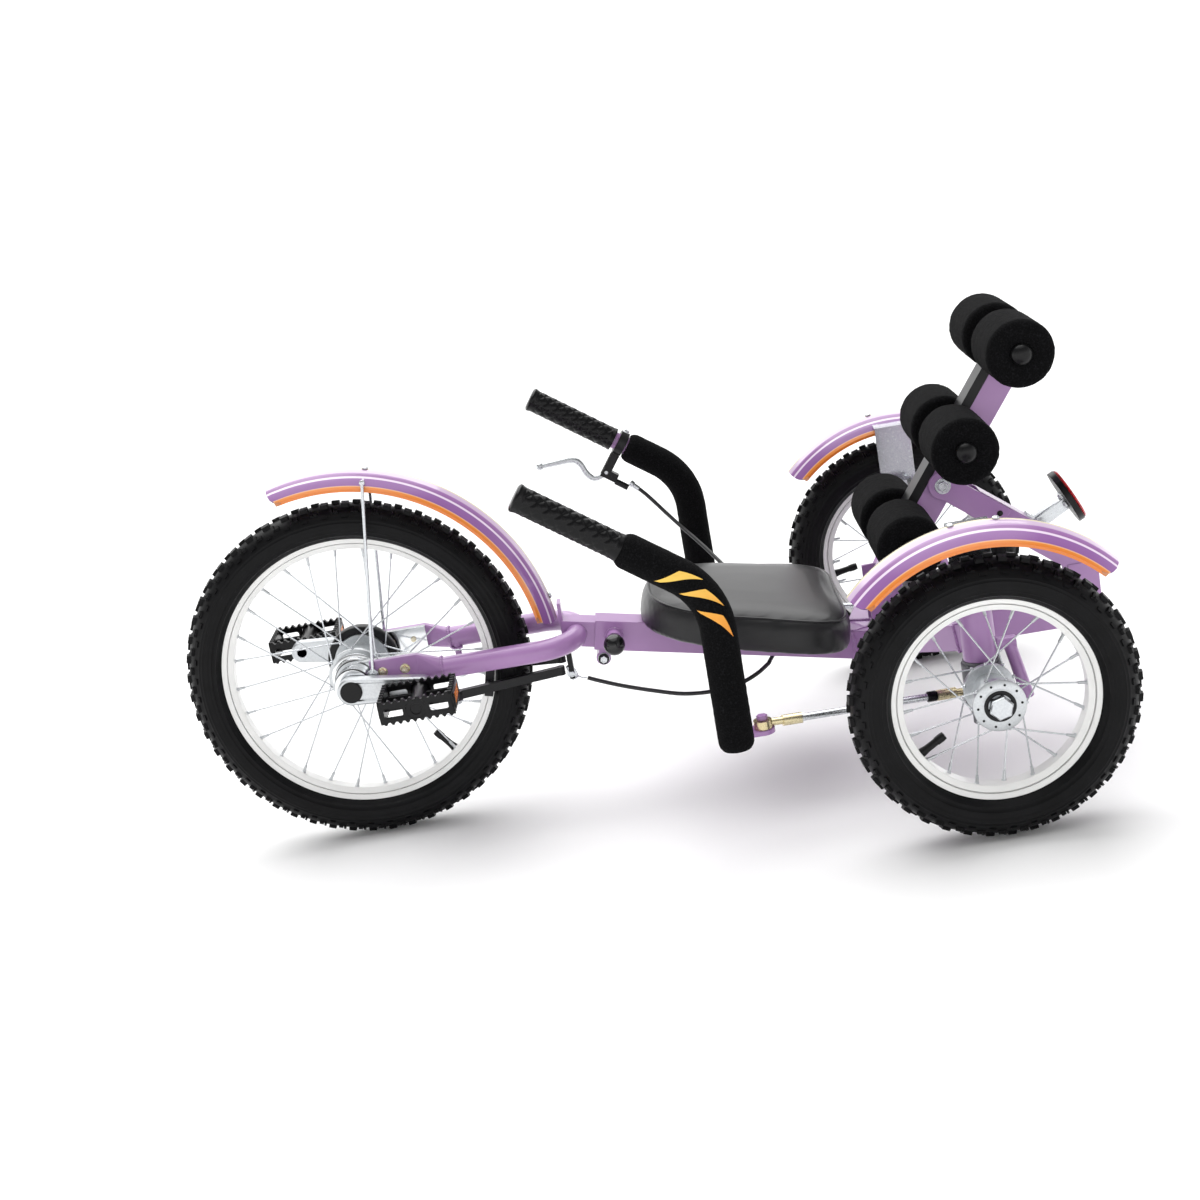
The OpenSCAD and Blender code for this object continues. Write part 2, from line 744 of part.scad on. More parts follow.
// Outline of the seat pad: square shoulders at the back, a rounder nose, wider at the back
seat_sides = 48;
nose_power_share = 0.76;
tail_power_share = 0.4;
function seat_edge(a) = let (c = cos(a), s = sin(a), p = c > 0 ? nose_power_share : tail_power_share,
        x = sign(c) * pow(abs(c), p), y = sign(s) * pow(abs(s), p),
        hw = seat_rear_w / 2 + (seat_front_w - seat_rear_w) / 2 * (x + 1) / 2)
    [seat_len / 2 * x, hw * y];
function seat_ring(inset, z) = [for (k = [0:seat_sides - 1]) let (e = seat_edge(360 * k / seat_sides))
    [e.x * (1 - inset), e.y * (1 - inset), z]];
module seat_pad() {
    edge = [for (r = seat_ring_shares) seat_ring(r[0], base_t + r[1] * seat_h)];
    crown = [for (r = seat_crown_shares) seat_ring(r[0], base_t + seat_h + r[1] * seat_crown)];
    rings = concat(edge, crown);
    n = len(rings);
    pts = concat([for (r = rings) each r], [[0, 0, base_t], [0, 0, base_t + seat_h + seat_crown]]);
    walls = [for (i = [0:n - 2], k = [0:seat_sides - 1], half = [0, 1])
        let (a = i * seat_sides + k, b = i * seat_sides + (k + 1) % seat_sides)
            half == 0 ? [a, b + seat_sides, b] : [a, a + seat_sides, b + seat_sides]];
    lids = [for (k = [0:seat_sides - 1], end = [0, 1]) let (j = (k + 1) % seat_sides)
        end == 0 ? [n * seat_sides, k, j]
            : [n * seat_sides + 1, (n - 1) * seat_sides + j, (n - 1) * seat_sides + k]];
    color(grey) on_seat() polyhedron(pts, concat(walls, lids), convexity = 4);
}

// Backrest

module backrest_post() {
    color(paint) difference() {
        on_post() translate([-post_t / 2, -post_w / 2, -post_low])
            cube([post_t, post_w, post_low + post_high]);
        on_post() translate([post_wall - post_t / 2, post_wall - post_w / 2, -post_low - over])
            cube([post_t - 2 * post_wall, post_w - 2 * post_wall, post_low + post_high + 2 * over]);
        across(at(post_bolt_back, 0, post_bolt_z), post_bolt_d + 2 * seat_gap, -post_w, post_w);
        across(at(low_bolt_back, 0, low_bolt_z), post_bolt_d + 2 * seat_gap, -post_w, post_w);
    }
}

rod_x = post_t / 2 + strip_t / 2;
strip_short = 46;
strip_low = post_low - strip_short;
module backrest_strip() {
    color(black) on_post() difference() {
        translate([post_t / 2, -post_w / 2, -strip_low]) cube([strip_t, post_w, strip_low + post_high]);
        for (z = roller_steps) across([rod_x, 0, z], roller_rod_d + 2 * seat_gap, -post_w, post_w);
    }
}
module roller_rods() {
    color(steel) on_post() for (z = roller_steps)
        across([rod_x, 0, z], roller_rod_d, -roller_end_y - over, roller_end_y + over);
}

// A foam roller with soft edges
roller_edge = 6;
module roller_section() {
    r = roller_d / 2;
    l = roller_end_y - roller_in_y;
    bore = roller_rod_d / 2 + seat_gap;
    translate([bore, 0]) square([r - roller_edge - bore, l]);
    translate([bore, roller_edge]) square([r - bore, l - 2 * roller_edge]);
    for (y = [roller_edge, l - roller_edge]) translate([r - roller_edge, y]) circle(r = roller_edge);
}
module roller_pads() {
    color(black) on_post() for (z = roller_steps, s = [0, 1]) mirror([0, s, 0])
        translate([rod_x, roller_in_y, z]) rotate([-90, 0, 0]) rotate_extrude() roller_section();
}
cap_d = 22;
cap_h = 7;
cap_r = (cap_d * cap_d / 4 + cap_h * cap_h) / (2 * cap_h);
module roller_caps() {
    color(black) on_post() for (z = roller_steps, s = [0, 1]) mirror([0, s, 0])
        translate([rod_x, roller_end_y + over + seat_gap, z]) rotate([-90, 0, 0]) rotate_extrude()
            intersection() {
                translate([0, cap_h - cap_r]) circle(r = cap_r);
                square([cap_d / 2, cap_h]);
            }
}

// Reflector

module on_reflector() {
    translate(at(reflector_back, 0, reflector_z)) rotate([0, -90 + reflector_tilt, 0]) children();
}
function reflector_foot(b) = at(b, 0, strut_top(b) + (bracket_t / 2 + seat_gap) / cos(strut_slope));
module reflector_bracket() {
    front = [sin(90 - reflector_tilt), 0, -cos(90 - reflector_tilt)];
    half = reflector_bracket_w / 2;
    color(white) union() {
        beam(reflector_foot(reflector_foot_back - half), reflector_foot(reflector_foot_back + half),
            reflector_bracket_w, bracket_t);
        beam(reflector_foot(reflector_foot_back),
            at(reflector_back, 0, reflector_z) + (seat_gap + bracket_t / 2) * front,
            reflector_bracket_w - over, bracket_t);
        on_reflector() translate([-half, -half, -bracket_t - seat_gap])
            cube([2 * half, 2 * half, bracket_t]);
    }
}
module reflector_housing() {
    color(black) on_reflector() cylinder(d = reflector_d, h = reflector_t);
}
lens_r = (reflector_d * reflector_d / 4 + lens_t * lens_t) / (2 * lens_t);
module reflector_lens() {
    color(red) on_reflector() translate([0, 0, reflector_t]) rotate_extrude() intersection() {
        translate([0, lens_t - lens_r]) circle(r = lens_r, $fn = 360);
        square([reflector_d / 2, lens_t]);
    }
}

// Lock

module lock_knob() {
    bore = lock_pin_d / 2 + seat_gap;
    color(black) translate([lock_at.x, lock_knob_y, lock_at.z]) rotate([-90, 0, 0])
        rotate_extrude() difference() {
        circle(d = lock_knob_d);
        translate([-lock_knob_d, -lock_knob_d]) square([lock_knob_d, 2 * lock_knob_d]);
        translate([0, -lock_knob_d]) square([bore, lock_knob_d]);
    }
}
module lock_pin() {
    color(steel) {
        across(lock_at, lock_nose_d, lock_nose_y, spine_w / 2);
        across(lock_at, lock_pin_d, spine_w / 2, lock_knob_y - seat_gap);
    }
}

// Front fork

module stay() {
    plate_x = front_axle_x - end_plate_back;
    plate_z = front_tyre_r + end_plate_rise;
    tube_back = end_plate_back + stay_d;
    bend_back = crown_back - stay_bend_r;
    lap_t = end_plate_t - 2 * bend_step;
    lap_h = end_plate_h - 2 * bend_step;
    lap_d = stay_d - 2 * bend_step;
    translate([plate_x, stay_y - end_plate_t / 2, plate_z - end_plate_h / 2])
        cube([end_plate_back - end_plate_front, end_plate_t, end_plate_h]);
    hull($fn = 32) {
        translate([plate_x, stay_y - lap_t / 2, plate_z - lap_h / 2]) cube([over, lap_t, lap_h]);
        rod(at(tube_back, stay_y, crown_z), at(tube_back + over, stay_y, crown_z), lap_d, $fn = 32);
    }
    rod(at(tube_back, stay_y, crown_z), at(bend_back, stay_y, crown_z), stay_d);
    translate(at(bend_back, stay_y - stay_bend_r, crown_z)) rotate([0, 0, 90 - bend_lap])
        rotate_extrude(angle = 90 + 2 * bend_lap) translate([stay_bend_r, 0]) circle(d = lap_d);
    translate([front_axle_x - brake_pivot_back, brake_pivot_y, crown_z - brake_pivot_low])
        cylinder(d = brake_pivot_d, h = brake_pivot_low);
}
clip_t = 4;
clip_w = 22;
clip_h = 20;
module front_fork() {
    slide_start = spine_at(crown_back - slide_front);
    slide_end = spine_at(crown_back - slide_front + slide_len * cos(spine_slope));
    inner = slide_w - 2 * slide_wall;
    color(paint) difference() {
        union() {
            stay();
            twin() stay();
            across(at(crown_back, 0, crown_z), stay_d, stay_bend_r - stay_y, stay_y - stay_bend_r);
            beam(slide_start, slide_end, slide_w, slide_w);
            translate(slide_start + [-clip_t, -clip_w / 2, 0]) cube([clip_t, clip_w, slide_w / 2 + clip_h]);
        }
        beam(spine_at(spine_front_back), slide_end + [-over, 0, -over * tan(spine_slope)], inner, inner);
        translate([lock_at.x, slide_w / 2, lock_at.z]) rotate([0, -spine_slope, 0])
            translate([-slide_travel - lock_nose_d, -slide_wall - over, -lock_nose_d / 2 - gap])
                cube([slide_travel + 2 * lock_nose_d, slide_wall + 2 * over, lock_nose_d + 2 * gap]);
        for (b = fork_bolt_backs, s = [-1, 1])
            across(at(b, 0, front_tyre_r + end_plate_rise), fork_bolt_d + 2 * seat_gap,
                s * stay_y - end_plate_t, s * stay_y + end_plate_t);
    }
}

module bearing() {
    lug_y = stay_y - end_plate_t / 2 - seat_gap - lug_t;
    difference() {
        union() {
            across(front_axle, bearing_d, bearing_in_y, bearing_out_y);
            translate([front_axle_x - end_plate_back, lug_y, front_tyre_r - end_plate_h / 2 + end_plate_rise])
                cube([end_plate_back, lug_t, end_plate_h]);
        }
        across(front_axle, crank_axle_d + 2 * fit, bearing_in_y - over, bearing_out_y + over);
        for (b = fork_bolt_backs)
            across(at(b, 0, front_tyre_r + end_plate_rise), fork_bolt_d + 2 * seat_gap, 0, bearing_out_y);
        translate([front_axle_x - end_plate_back, lug_y + lug_t, 0])
            cube([end_plate_back - bearing_d / 2 * bearing_relief_share, stay_y, 2 * front_tyre_r]);
    }
}
module axle_bearings() {
    color(steel) {
        bearing();
        twin() bearing();
    }
}
module fork_bolts() {
    inner_y = stay_y - end_plate_t / 2 - seat_gap - lug_t;
    outer_y = stay_y + end_plate_t / 2 + seat_gap;
    color(brass) for (b = fork_bolt_backs, s = [0, 1]) mirror([0, s, 0]) {
        p = at(b, 0, front_tyre_r + end_plate_rise);
        across(p, fork_bolt_d, inner_y, outer_y);
        across(p, fork_bolt_head_d, outer_y, outer_y + fork_bolt_head_h);
    }
}

front_fender_r = front_tyre_r + front_fender_gap;
module front_fender() {
    color(paint) fender(front_axle, front_fender_r, front_fender_hw, front_fender_start, front_fender_end);
}
module fender_wire() {
    top = front_axle + [front_fender_r * cos(fender_wire_angle),
        front_fender_hw + fender_wire_d / 2 + gap, front_fender_r * sin(fender_wire_angle)];
    foot_y = stay_y + end_plate_t / 2 + fender_wire_d / 2 + gap + fender_wire_lean;
    low = at(fork_bolt_backs[0] - fork_bolt_head_d, foot_y, front_tyre_r + end_plate_rise);
    rod(top, low, fender_wire_d);
}
module fender_stays() {
    color(steel) {
        fender_wire();
        twin() fender_wire();
    }
}

// Brake

module left_brake_arm() {
    pivot = [front_axle_x - brake_pivot_back, brake_pivot_y, brake_arm_z];
    stop = [front_axle_x - brake_end_back, brake_end_y, brake_arm_z];
    at_pad = (pad_back - brake_pivot_back) / (brake_end_back - brake_pivot_back);
    root = pivot + at_pad * (stop - pivot);
    color(black) difference() {
        union() {
            beam(pivot, stop, brake_arm_w, brake_arm_h);
            translate(pivot - [0, 0, brake_arm_h / 2]) cylinder(d = brake_eye_d, h = brake_arm_h);
            translate(stop - [0, 0, brake_arm_h / 2])
                cylinder(d = brake_arm_w * brake_tip_share, h = brake_arm_h);
            across(root, brake_arm_h * pad_stud_share, front_rim_w / 2 + pad_gap + pad_t + seat_gap, root.y);
        }
        translate(pivot - [0, 0, brake_arm_h]) cylinder(d = brake_pivot_d + 2 * fit, h = 2 * brake_arm_h);
    }
}
module right_brake_arm() {
    twin() left_brake_arm();
}
module left_brake_pad() {
    tilt = atan2(front_tyre_r - brake_arm_z, pad_back);
    color(black) translate([front_axle_x - pad_back, front_rim_w / 2 + pad_gap, brake_arm_z])
        rotate([0, -tilt, 0]) translate([-pad_h / 2, 0, -pad_len / 2]) cube([pad_h, pad_t, pad_len]);
}
module right_brake_pad() {
    twin() left_brake_pad();
}
module brake_hanger() {
    top = spine_z(hanger_back) - slide_w / 2 / cos(spine_slope) - seat_gap;
    color(steel) translate([front_axle_x - hanger_back - hanger_t / 2, -hanger_w / 2, hanger_low])
        cube([hanger_t, hanger_w, top - hanger_low - hanger_t / 2 * tan(spine_slope)]);
}
module brake_cable_rear() {
    color(black) route_tube(cable_rear_route, cable_d, 8);
}
module brake_cable_front() {
    color(black) route_tube(cable_front_route, cable_d, 8);
}

// Front wheel and drive

module front_tyre() {
    color(black) union() {
        turned(front_axle) tyre(front_rim_r, front_tyre_r, front_tyre_w);
        translate(front_axle) rotate([-90, 0, 0]) tread(front_rim_r, front_tyre_r, front_tyre_w, front_knob_n);
    }
}
module front_rim() {
    color(white) turned(front_axle) rim(front_rim_r, front_rim_w);
}
module front_spokes() {
    color(steel) spokes(front_axle, front_spoke_n, front_flange_d, front_flange_y, front_rim_r, front_rim_w);
}
module hub_flange(p, d, t, y) {
    across(p + [0, 0, 0], d, y - t / 2, y + t / 2);
}
module front_hub() {
    half = front_flange_y + front_flange_t / 2;
    color(steel) difference() {
        union() {
            across(front_axle, front_barrel_d, -drum_out_y, bearing_in_y - gap);
            for (s = [-1, 1]) hub_flange(front_axle, front_flange_d, front_flange_t, s * front_flange_y);
            across(front_axle, drum_d, -drum_out_y, -max(drum_in_y, half + spoke_d * 2));
        }
        across(front_axle, crank_axle_d + 2 * fit, -bearing_out_y, bearing_out_y);
    }
}
module crank_axle() {
    color(steel) across(front_axle, crank_axle_d, -crank_in_y - crank_t, crank_in_y + crank_t);
}

// A crank with its pedal spindle; its arm points straight back before it is turned
pedal_out_y = pedal_in_y + pedal_w;
module crank() {
    color(steel) translate(front_axle) rotate([0, -crank_drop, 0]) difference() {
        union() {
            across([0, 0, 0], crank_eye_d, crank_in_y, crank_in_y + crank_t);
            translate([-crank_len, crank_in_y, -crank_w / 2]) cube([crank_len, crank_t, crank_w]);
            across([-crank_len, 0, 0], pedal_eye_d, crank_in_y, crank_in_y + crank_t);
            across([-crank_len, 0, 0], spindle_d, crank_in_y, pedal_out_y - pedal_rail);
        }
        across([0, 0, 0], crank_axle_d + seat_gap, crank_in_y - over, crank_in_y + crank_t + over);
    }
}
module turned_half() {
    translate(front_axle) rotate([0, 180, 0]) translate(-front_axle) children();
}
module left_crank() {
    crank();
}
module right_crank() {
    twin() turned_half() crank();
}
module crank_caps() {
    color(black) for (s = [0, 1]) mirror([0, s, 0])
        across(front_axle, crank_axle_d, crank_in_y + crank_t + seat_gap, crank_in_y + crank_t + crank_cap_h);
}

// A pedal: two rails, two end bars and a barrel on the spindle, level at rest
module pedal() {
    p = front_axle + crank_len * [-cos(crank_drop), 0, -sin(crank_drop)];
    color(black) difference() {
        union() {
            for (s = [-1, 1])
                translate(p + [s * (pedal_len - pedal_rail) / 2 - pedal_rail / 2, pedal_in_y, -pedal_h / 2])
                    cube([pedal_rail, pedal_w, pedal_h]);
            for (y = [pedal_in_y, pedal_out_y - pedal_rail])
                translate(p + [-pedal_len / 2, y, -pedal_h / 2]) cube([pedal_len, pedal_rail, pedal_h]);
            across(p, pedal_barrel_d, pedal_in_y, pedal_out_y);
        }
        across(p, spindle_d + 2 * fit, pedal_in_y - over, pedal_out_y - pedal_rail + gap);
    }
}
module left_pedal() {
    pedal();
}
module right_pedal() {
    twin() turned_half() pedal();
}

// Steering bar, sleeves and grips

module half_bar() {
    rod([bar_x, bar_start_y, bar_mid_z], [bar_x, handle_y, bar_end_z], bar_cross_d);
    handle_sweep(bar_d, 0, sleeve_low_z, grip_at + grip_len - grip_end_t - gap);
    tab_top = tie_front.z - eye_h / 2 - gap;
    translate([tie_front.x, tie_front.y, tab_top - tab_t]) cylinder(d = tab_w, h = tab_t);
    translate([tie_front.x, tie_front.y - tab_w / 2, tab_top - tab_t])
        cube([bar_x - tie_front.x, tab_w, tab_t]);
    translate([bar_x - bar_d / 4, tie_front.y - tab_w / 2, tab_top - tab_t])
        cube([bar_d / 2, tab_w, bar_d / 2]);
    translate([tie_front.x, tie_front.y, tab_top]) cylinder(d = eye_stud_d, h = eye_h + 2 * gap);
    translate([tie_front.x, tie_front.y, tab_top + eye_h + 2 * gap]) hex(eye_nut_d, eye_nut_h);
}
module steering_bar() {
    color(paint) difference() {
        union() {
            half_bar();
            twin() half_bar();
            translate([bar_x, 0, bar_hub_low])
                cylinder(d = bar_hub_d, h = pivot_boss_low - gap - bar_hub_low);
        }
        translate([bar_x, 0, bar_hub_low - over]) cylinder(d = pivot_bolt_d + 2 * fit, h = bar_d * 2 + over);
    }
}
module steering_pivot() {
    low = bar_hub_low - gap;
    color(steel) {
        translate([bar_x, 0, low - pivot_head_h]) cylinder(d = pivot_head_d, h = pivot_head_h);
        translate([bar_x, 0, low]) cylinder(d = pivot_bolt_d, h = pivot_top - low);
    }
}
module left_sleeve() {
    color(black) difference() {
        handle_sweep(sleeve_d, bar_d + 2 * seat_gap, sleeve_low_z, sleeve_past);
        translate([bar_x - notch_w / 2, handle_y - sleeve_d, sleeve_low_z - over])
            cube([notch_w, sleeve_d, bar_end_z + bar_cross_d / 2 + gap + over - sleeve_low_z]);
    }
}
module right_sleeve() {
    twin() left_sleeve();
}
module left_grip() {
    color(black) on_handle(grip_at) difference() {
        cylinder(d = grip_d, h = grip_len);
        translate([0, 0, -over]) cylinder(d = bar_d + 2 * seat_gap, h = grip_len - grip_end_t + over);
    }
}
module right_grip() {
    twin() left_grip();
}

// Brake lever and its bracket, on the right handle
barrel_d = 8;
barrel_len = 18;
barrel_out = 48;
module lever_bracket() {
    depth = lever_pivot_out + lever_d;
    color(black) twin() on_handle(clamp_at) difference() {
        union() {
            translate([0, 0, -clamp_w / 2]) cylinder(d = clamp_d, h = clamp_w);
            translate([0, -lever_cheek / 2, -clamp_w / 2]) cube([depth, lever_cheek, clamp_w]);
            translate([depth - clamp_w, -lever_cheek / 2, -clamp_w * perch_share])
                cube([clamp_w, lever_cheek, clamp_w * perch_share]);
            translate([barrel_out, 0, -clamp_w * perch_share - barrel_len])
                cylinder(d = barrel_d, h = barrel_len);
        }
        translate([0, 0, -clamp_w]) cylinder(d = bar_d + 2 * seat_gap, h = 2 * clamp_w);
        translate([clamp_d / 2 + gap, -lever_slot / 2, -clamp_w / 2 - gap])
            cube([depth, lever_slot, clamp_w + 2 * gap]);
        across([lever_pivot_out, 0, 0], lever_pivot_d, -lever_cheek, lever_cheek);
    }
}
// Outline of an even ribbon along points in a plane
function ribbon(pts, w) = let (n = len(pts) - 1, side = [for (i = [0:n])
        let (v = pts[min(i + 1, n)] - pts[max(i - 1, 0)]) [-v[1], v[0]] / norm(v) * w / 2])
    concat([for (i = [0:n]) pts[i] + side[i]], [for (i = [n:-1:0]) pts[i] - side[i]]);
module brake_lever() {
    color(steel) twin() on_handle(clamp_at) {
        rotate([90, 0, 0]) linear_extrude(lever_t, center = true) polygon(ribbon(lever_points, lever_d));
        across([lever_pivot_out, 0, 0], lever_d, -lever_t / 2, lever_t / 2);
        across([lever_pivot_out, 0, 0], lever_pivot_d - 2 * fit, -lever_cheek / 2, lever_cheek / 2);
    }
}

// Tie rods and knuckles

module left_tie_rod() {
    run = tie_rear - tie_front;
    along = run / norm(run);
    flat = [run.x, run.y, 0] / norm([run.x, run.y, 0]);
    front_in = tie_front + rod_end_len * along;
    rear_in = tie_rear - rod_end_len * along;
    rear_nut = tie_rear + [0, 0, eye_h / 2];
    difference() {
        union() {
            color(brass) {
                for (p = [tie_front, tie_rear])
                    translate(p - [0, 0, eye_h / 2]) cylinder(d = eye_d, h = eye_h);
                rod(tie_front + eye_d / 4 * flat, front_in, rod_end_d * shank_share);
                rod(tie_rear - eye_d / 4 * flat, rear_in, rod_end_d * shank_share);
                rod(tie_front + rod_end_len / 2 * along, front_in, rod_end_d);
                rod(tie_rear - rod_end_len / 2 * along, rear_in, rod_end_d);
                translate(rear_nut) hex(eye_nut_d, eye_nut_h);
            }
            color(steel) rod(front_in, rear_in, tie_rod_d);
        }
        translate(tie_front - [0, 0, eye_h]) cylinder(d = eye_stud_d + 2 * fit, h = 2 * eye_h);
    }
}
module right_tie_rod() {
    twin() left_tie_rod();
}

module left_knuckle() {
    k = [rear_axle_x, kingpin_y, 0];
    arm_top = tie_rear.z - eye_h / 2 - gap;
    axle = [rear_axle_x, 0, rear_tyre_r];
    hub_in = half_track - rear_hub_half - gap;
    hub_out = half_track + rear_hub_half + gap;
    top = head_z - gap - race_h;
    color(grey) union() {
        translate(k + [0, 0, top - seat_gap])
            cylinder(d = kingpin_d, h = head_h + race_h + gap + collar_h + bracket_t);
        translate(k + [0, 0, top]) cylinder(d = head_d + over, h = race_h);
        translate(k + [0, 0, knuckle_low]) cylinder(d = knuckle_d, h = top - knuckle_low);
        translate(k + [0, 0, arm_top - arm_t])
            cylinder(d = knuckle_neck_d, h = knuckle_low - arm_top + arm_t);
        translate([tie_rear.x - arm_w / 2, tie_rear.y, arm_top - arm_t]) cube([arm_w, arm_len, arm_t]);
        translate([tie_rear.x, tie_rear.y, arm_top - arm_t]) cylinder(d = arm_w, h = arm_t);
        translate([tie_rear.x, tie_rear.y, arm_top - arm_t - eye_nut_h]) hex(eye_nut_d, eye_nut_h);
        across(axle, stub_shoulder_d, kingpin_y, hub_in);
        across(axle, stub_d, kingpin_y, half_track + stub_end);
        difference() {
            across(axle, stub_nut_d, hub_out, hub_out + stub_nut_h);
            translate([rear_axle_x - stub_nut_d / 2, hub_out + stub_nut_h / 2,
                rear_tyre_r + stub_nut_d * stub_flat_share])
                cube([stub_nut_d, stub_nut_h, stub_nut_d]);
        }
    }
}
module right_knuckle() {
    twin() left_knuckle();
}

rear_fender_r = rear_tyre_r + rear_fender_gap;
module left_fender_bracket() {
    low = head_top + gap;
    flange_z = rear_tyre_r + rear_fender_r - bracket_t - gap;
    x0 = rear_axle_x - bracket_len / 2;
    shank = kingpin_d + 2 * seat_gap;
    color(steel) difference() {
        union() {
            translate([rear_axle_x, kingpin_y, low]) cylinder(d = head_d, h = collar_h);
            translate([x0, bracket_in_y, low + collar_h])
                cube([bracket_len, bracket_up_y + bracket_t - bracket_in_y, bracket_t]);
            translate([x0, bracket_up_y, low + collar_h])
                cube([bracket_len, bracket_t, flange_z - low - collar_h]);
            translate([x0, bracket_up_y, flange_z])
                cube([bracket_len, half_track - bracket_up_y + bracket_len / 4, bracket_t]);
            translate([rear_axle_x, half_track, flange_z])
                cylinder(d = fork_bolt_head_d, h = fender_rise + bracket_t);
            translate([rear_axle_x, kingpin_y, low + collar_h + bracket_t]) hex(kingpin_nut_d, kingpin_nut_h);
        }
        translate([rear_axle_x, kingpin_y, low - over])
            cylinder(d = shank, h = over + collar_h + bracket_t + seat_gap);
    }
}
module right_fender_bracket() {
    twin() left_fender_bracket();
}
module left_rear_fender() {
    color(paint) fender([rear_axle_x, half_track, rear_tyre_r], rear_fender_r, rear_fender_hw,
        rear_fender_start, rear_fender_end);
}
module right_rear_fender() {
    twin() left_rear_fender();
}

// Rear wheels

rear_wheel = [rear_axle_x, half_track, rear_tyre_r];
module left_rear_tyre() {
    color(black) union() {
        turned(rear_wheel) tyre(rear_rim_r, rear_tyre_r, rear_tyre_w);
        translate(rear_wheel) rotate([-90, 0, 0]) tread(rear_rim_r, rear_tyre_r, rear_tyre_w, rear_knob_n);
    }
}
module right_rear_tyre() {
    twin() left_rear_tyre();
}
module left_rear_rim() {
    color(white) turned(rear_wheel) rim(rear_rim_r, rear_rim_w);
}
module right_rear_rim() {
    twin() left_rear_rim();
}
module left_rear_spokes() {
    color(steel) spokes(rear_wheel, rear_spoke_n, rear_flange_d, rear_flange_y, rear_rim_r, rear_rim_w);
}
module right_rear_spokes() {
    twin() left_rear_spokes();
}
module left_rear_hub() {
    color(steel) difference() {
        union() {
            across(rear_wheel, rear_barrel_d, half_track - rear_hub_half, half_track + rear_hub_half);
            for (s = [-1, 1])
                hub_flange(rear_wheel, rear_flange_d, rear_flange_t, half_track + s * rear_flange_y);
        }
        across(rear_wheel, stub_d + 2 * fit, half_track - rear_hub_half - over,
            half_track + rear_hub_half + over);
    }
}
module right_rear_hub() {
    twin() left_rear_hub();
}

main_frame();
seat_base();
seat_pad();
backrest_post();
backrest_strip();
roller_rods();
roller_pads();
roller_caps();
frame_bolts();
reflector_bracket();
reflector_housing();
reflector_lens();
steering_pivot();
brake_cable_rear();
lock_knob();
lock_pin();
front_fork();
front_fender();
fender_stays();
axle_bearings();
fork_bolts();
brake_hanger();
brake_cable_front();
left_brake_arm();
right_brake_arm();
left_brake_pad();
right_brake_pad();
front_tyre();
front_rim();
front_spokes();
front_hub();
crank_axle();
left_crank();
right_crank();
crank_caps();
left_pedal();
right_pedal();
steering_bar();
left_sleeve();
right_sleeve();
left_grip();
right_grip();
lever_bracket();
brake_lever();
left_tie_rod();
right_tie_rod();
left_knuckle();
right_knuckle();
left_fender_bracket();
right_fender_bracket();
left_rear_fender();
right_rear_fender();
left_rear_tyre();
right_rear_tyre();
left_rear_rim();
right_rear_rim();
left_rear_spokes();
right_rear_spokes();
left_rear_hub();
right_rear_hub();
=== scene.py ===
import math

import bmesh
import bpy
from mathutils import Matrix, Vector, noise
from mathutils.bvhtree import BVHTree
from mathutils.geometry import tessellate_polygon


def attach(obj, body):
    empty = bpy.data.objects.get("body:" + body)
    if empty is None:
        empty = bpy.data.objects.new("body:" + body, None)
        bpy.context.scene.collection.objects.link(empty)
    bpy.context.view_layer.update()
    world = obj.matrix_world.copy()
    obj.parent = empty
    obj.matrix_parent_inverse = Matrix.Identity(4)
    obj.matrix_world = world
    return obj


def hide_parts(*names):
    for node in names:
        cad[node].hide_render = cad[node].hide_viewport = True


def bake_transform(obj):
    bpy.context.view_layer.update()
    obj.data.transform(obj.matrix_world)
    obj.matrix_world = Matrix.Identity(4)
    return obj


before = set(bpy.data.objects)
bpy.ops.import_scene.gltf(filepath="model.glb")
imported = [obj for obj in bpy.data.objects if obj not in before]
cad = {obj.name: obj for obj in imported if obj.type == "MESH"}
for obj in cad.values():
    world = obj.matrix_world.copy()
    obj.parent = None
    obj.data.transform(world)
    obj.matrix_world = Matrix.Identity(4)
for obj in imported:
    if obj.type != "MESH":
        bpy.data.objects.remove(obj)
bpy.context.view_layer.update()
mm = 0.001

# Camera: it looks at the tricycle's left side from a little above, rolled so that
# the wheels stand level in the picture.
camera_place = Vector((-0.0552, 2.2030, 0.8618))
camera_yaw, camera_pitch, camera_roll = (math.radians(a) for a in (-2.46, 15.8, -10.18))
sensor_mm, lens_mm, far_clip = 36.0, 58.69, 400
ahead = Vector((-math.sin(camera_yaw) * math.cos(camera_pitch),
                -math.cos(camera_yaw) * math.cos(camera_pitch), -math.sin(camera_pitch)))
level_right = ahead.cross(Vector((0, 0, 1))).normalized()
level_up = level_right.cross(ahead)
view_right = math.cos(camera_roll) * level_right + math.sin(camera_roll) * level_up
view_up = math.cos(camera_roll) * level_up - math.sin(camera_roll) * level_right
camera = bpy.data.objects.new("camera", bpy.data.cameras.new("camera"))
bpy.context.scene.collection.objects.link(camera)
camera.matrix_world = (Matrix.Translation(camera_place)
                       @ Matrix((view_right, view_up, -ahead)).transposed().to_4x4())
camera.data.sensor_width, camera.data.lens, camera.data.clip_end = sensor_mm, lens_mm, far_clip
bpy.context.scene.camera = camera
bpy.context.scene.view_settings.view_transform = "Standard"

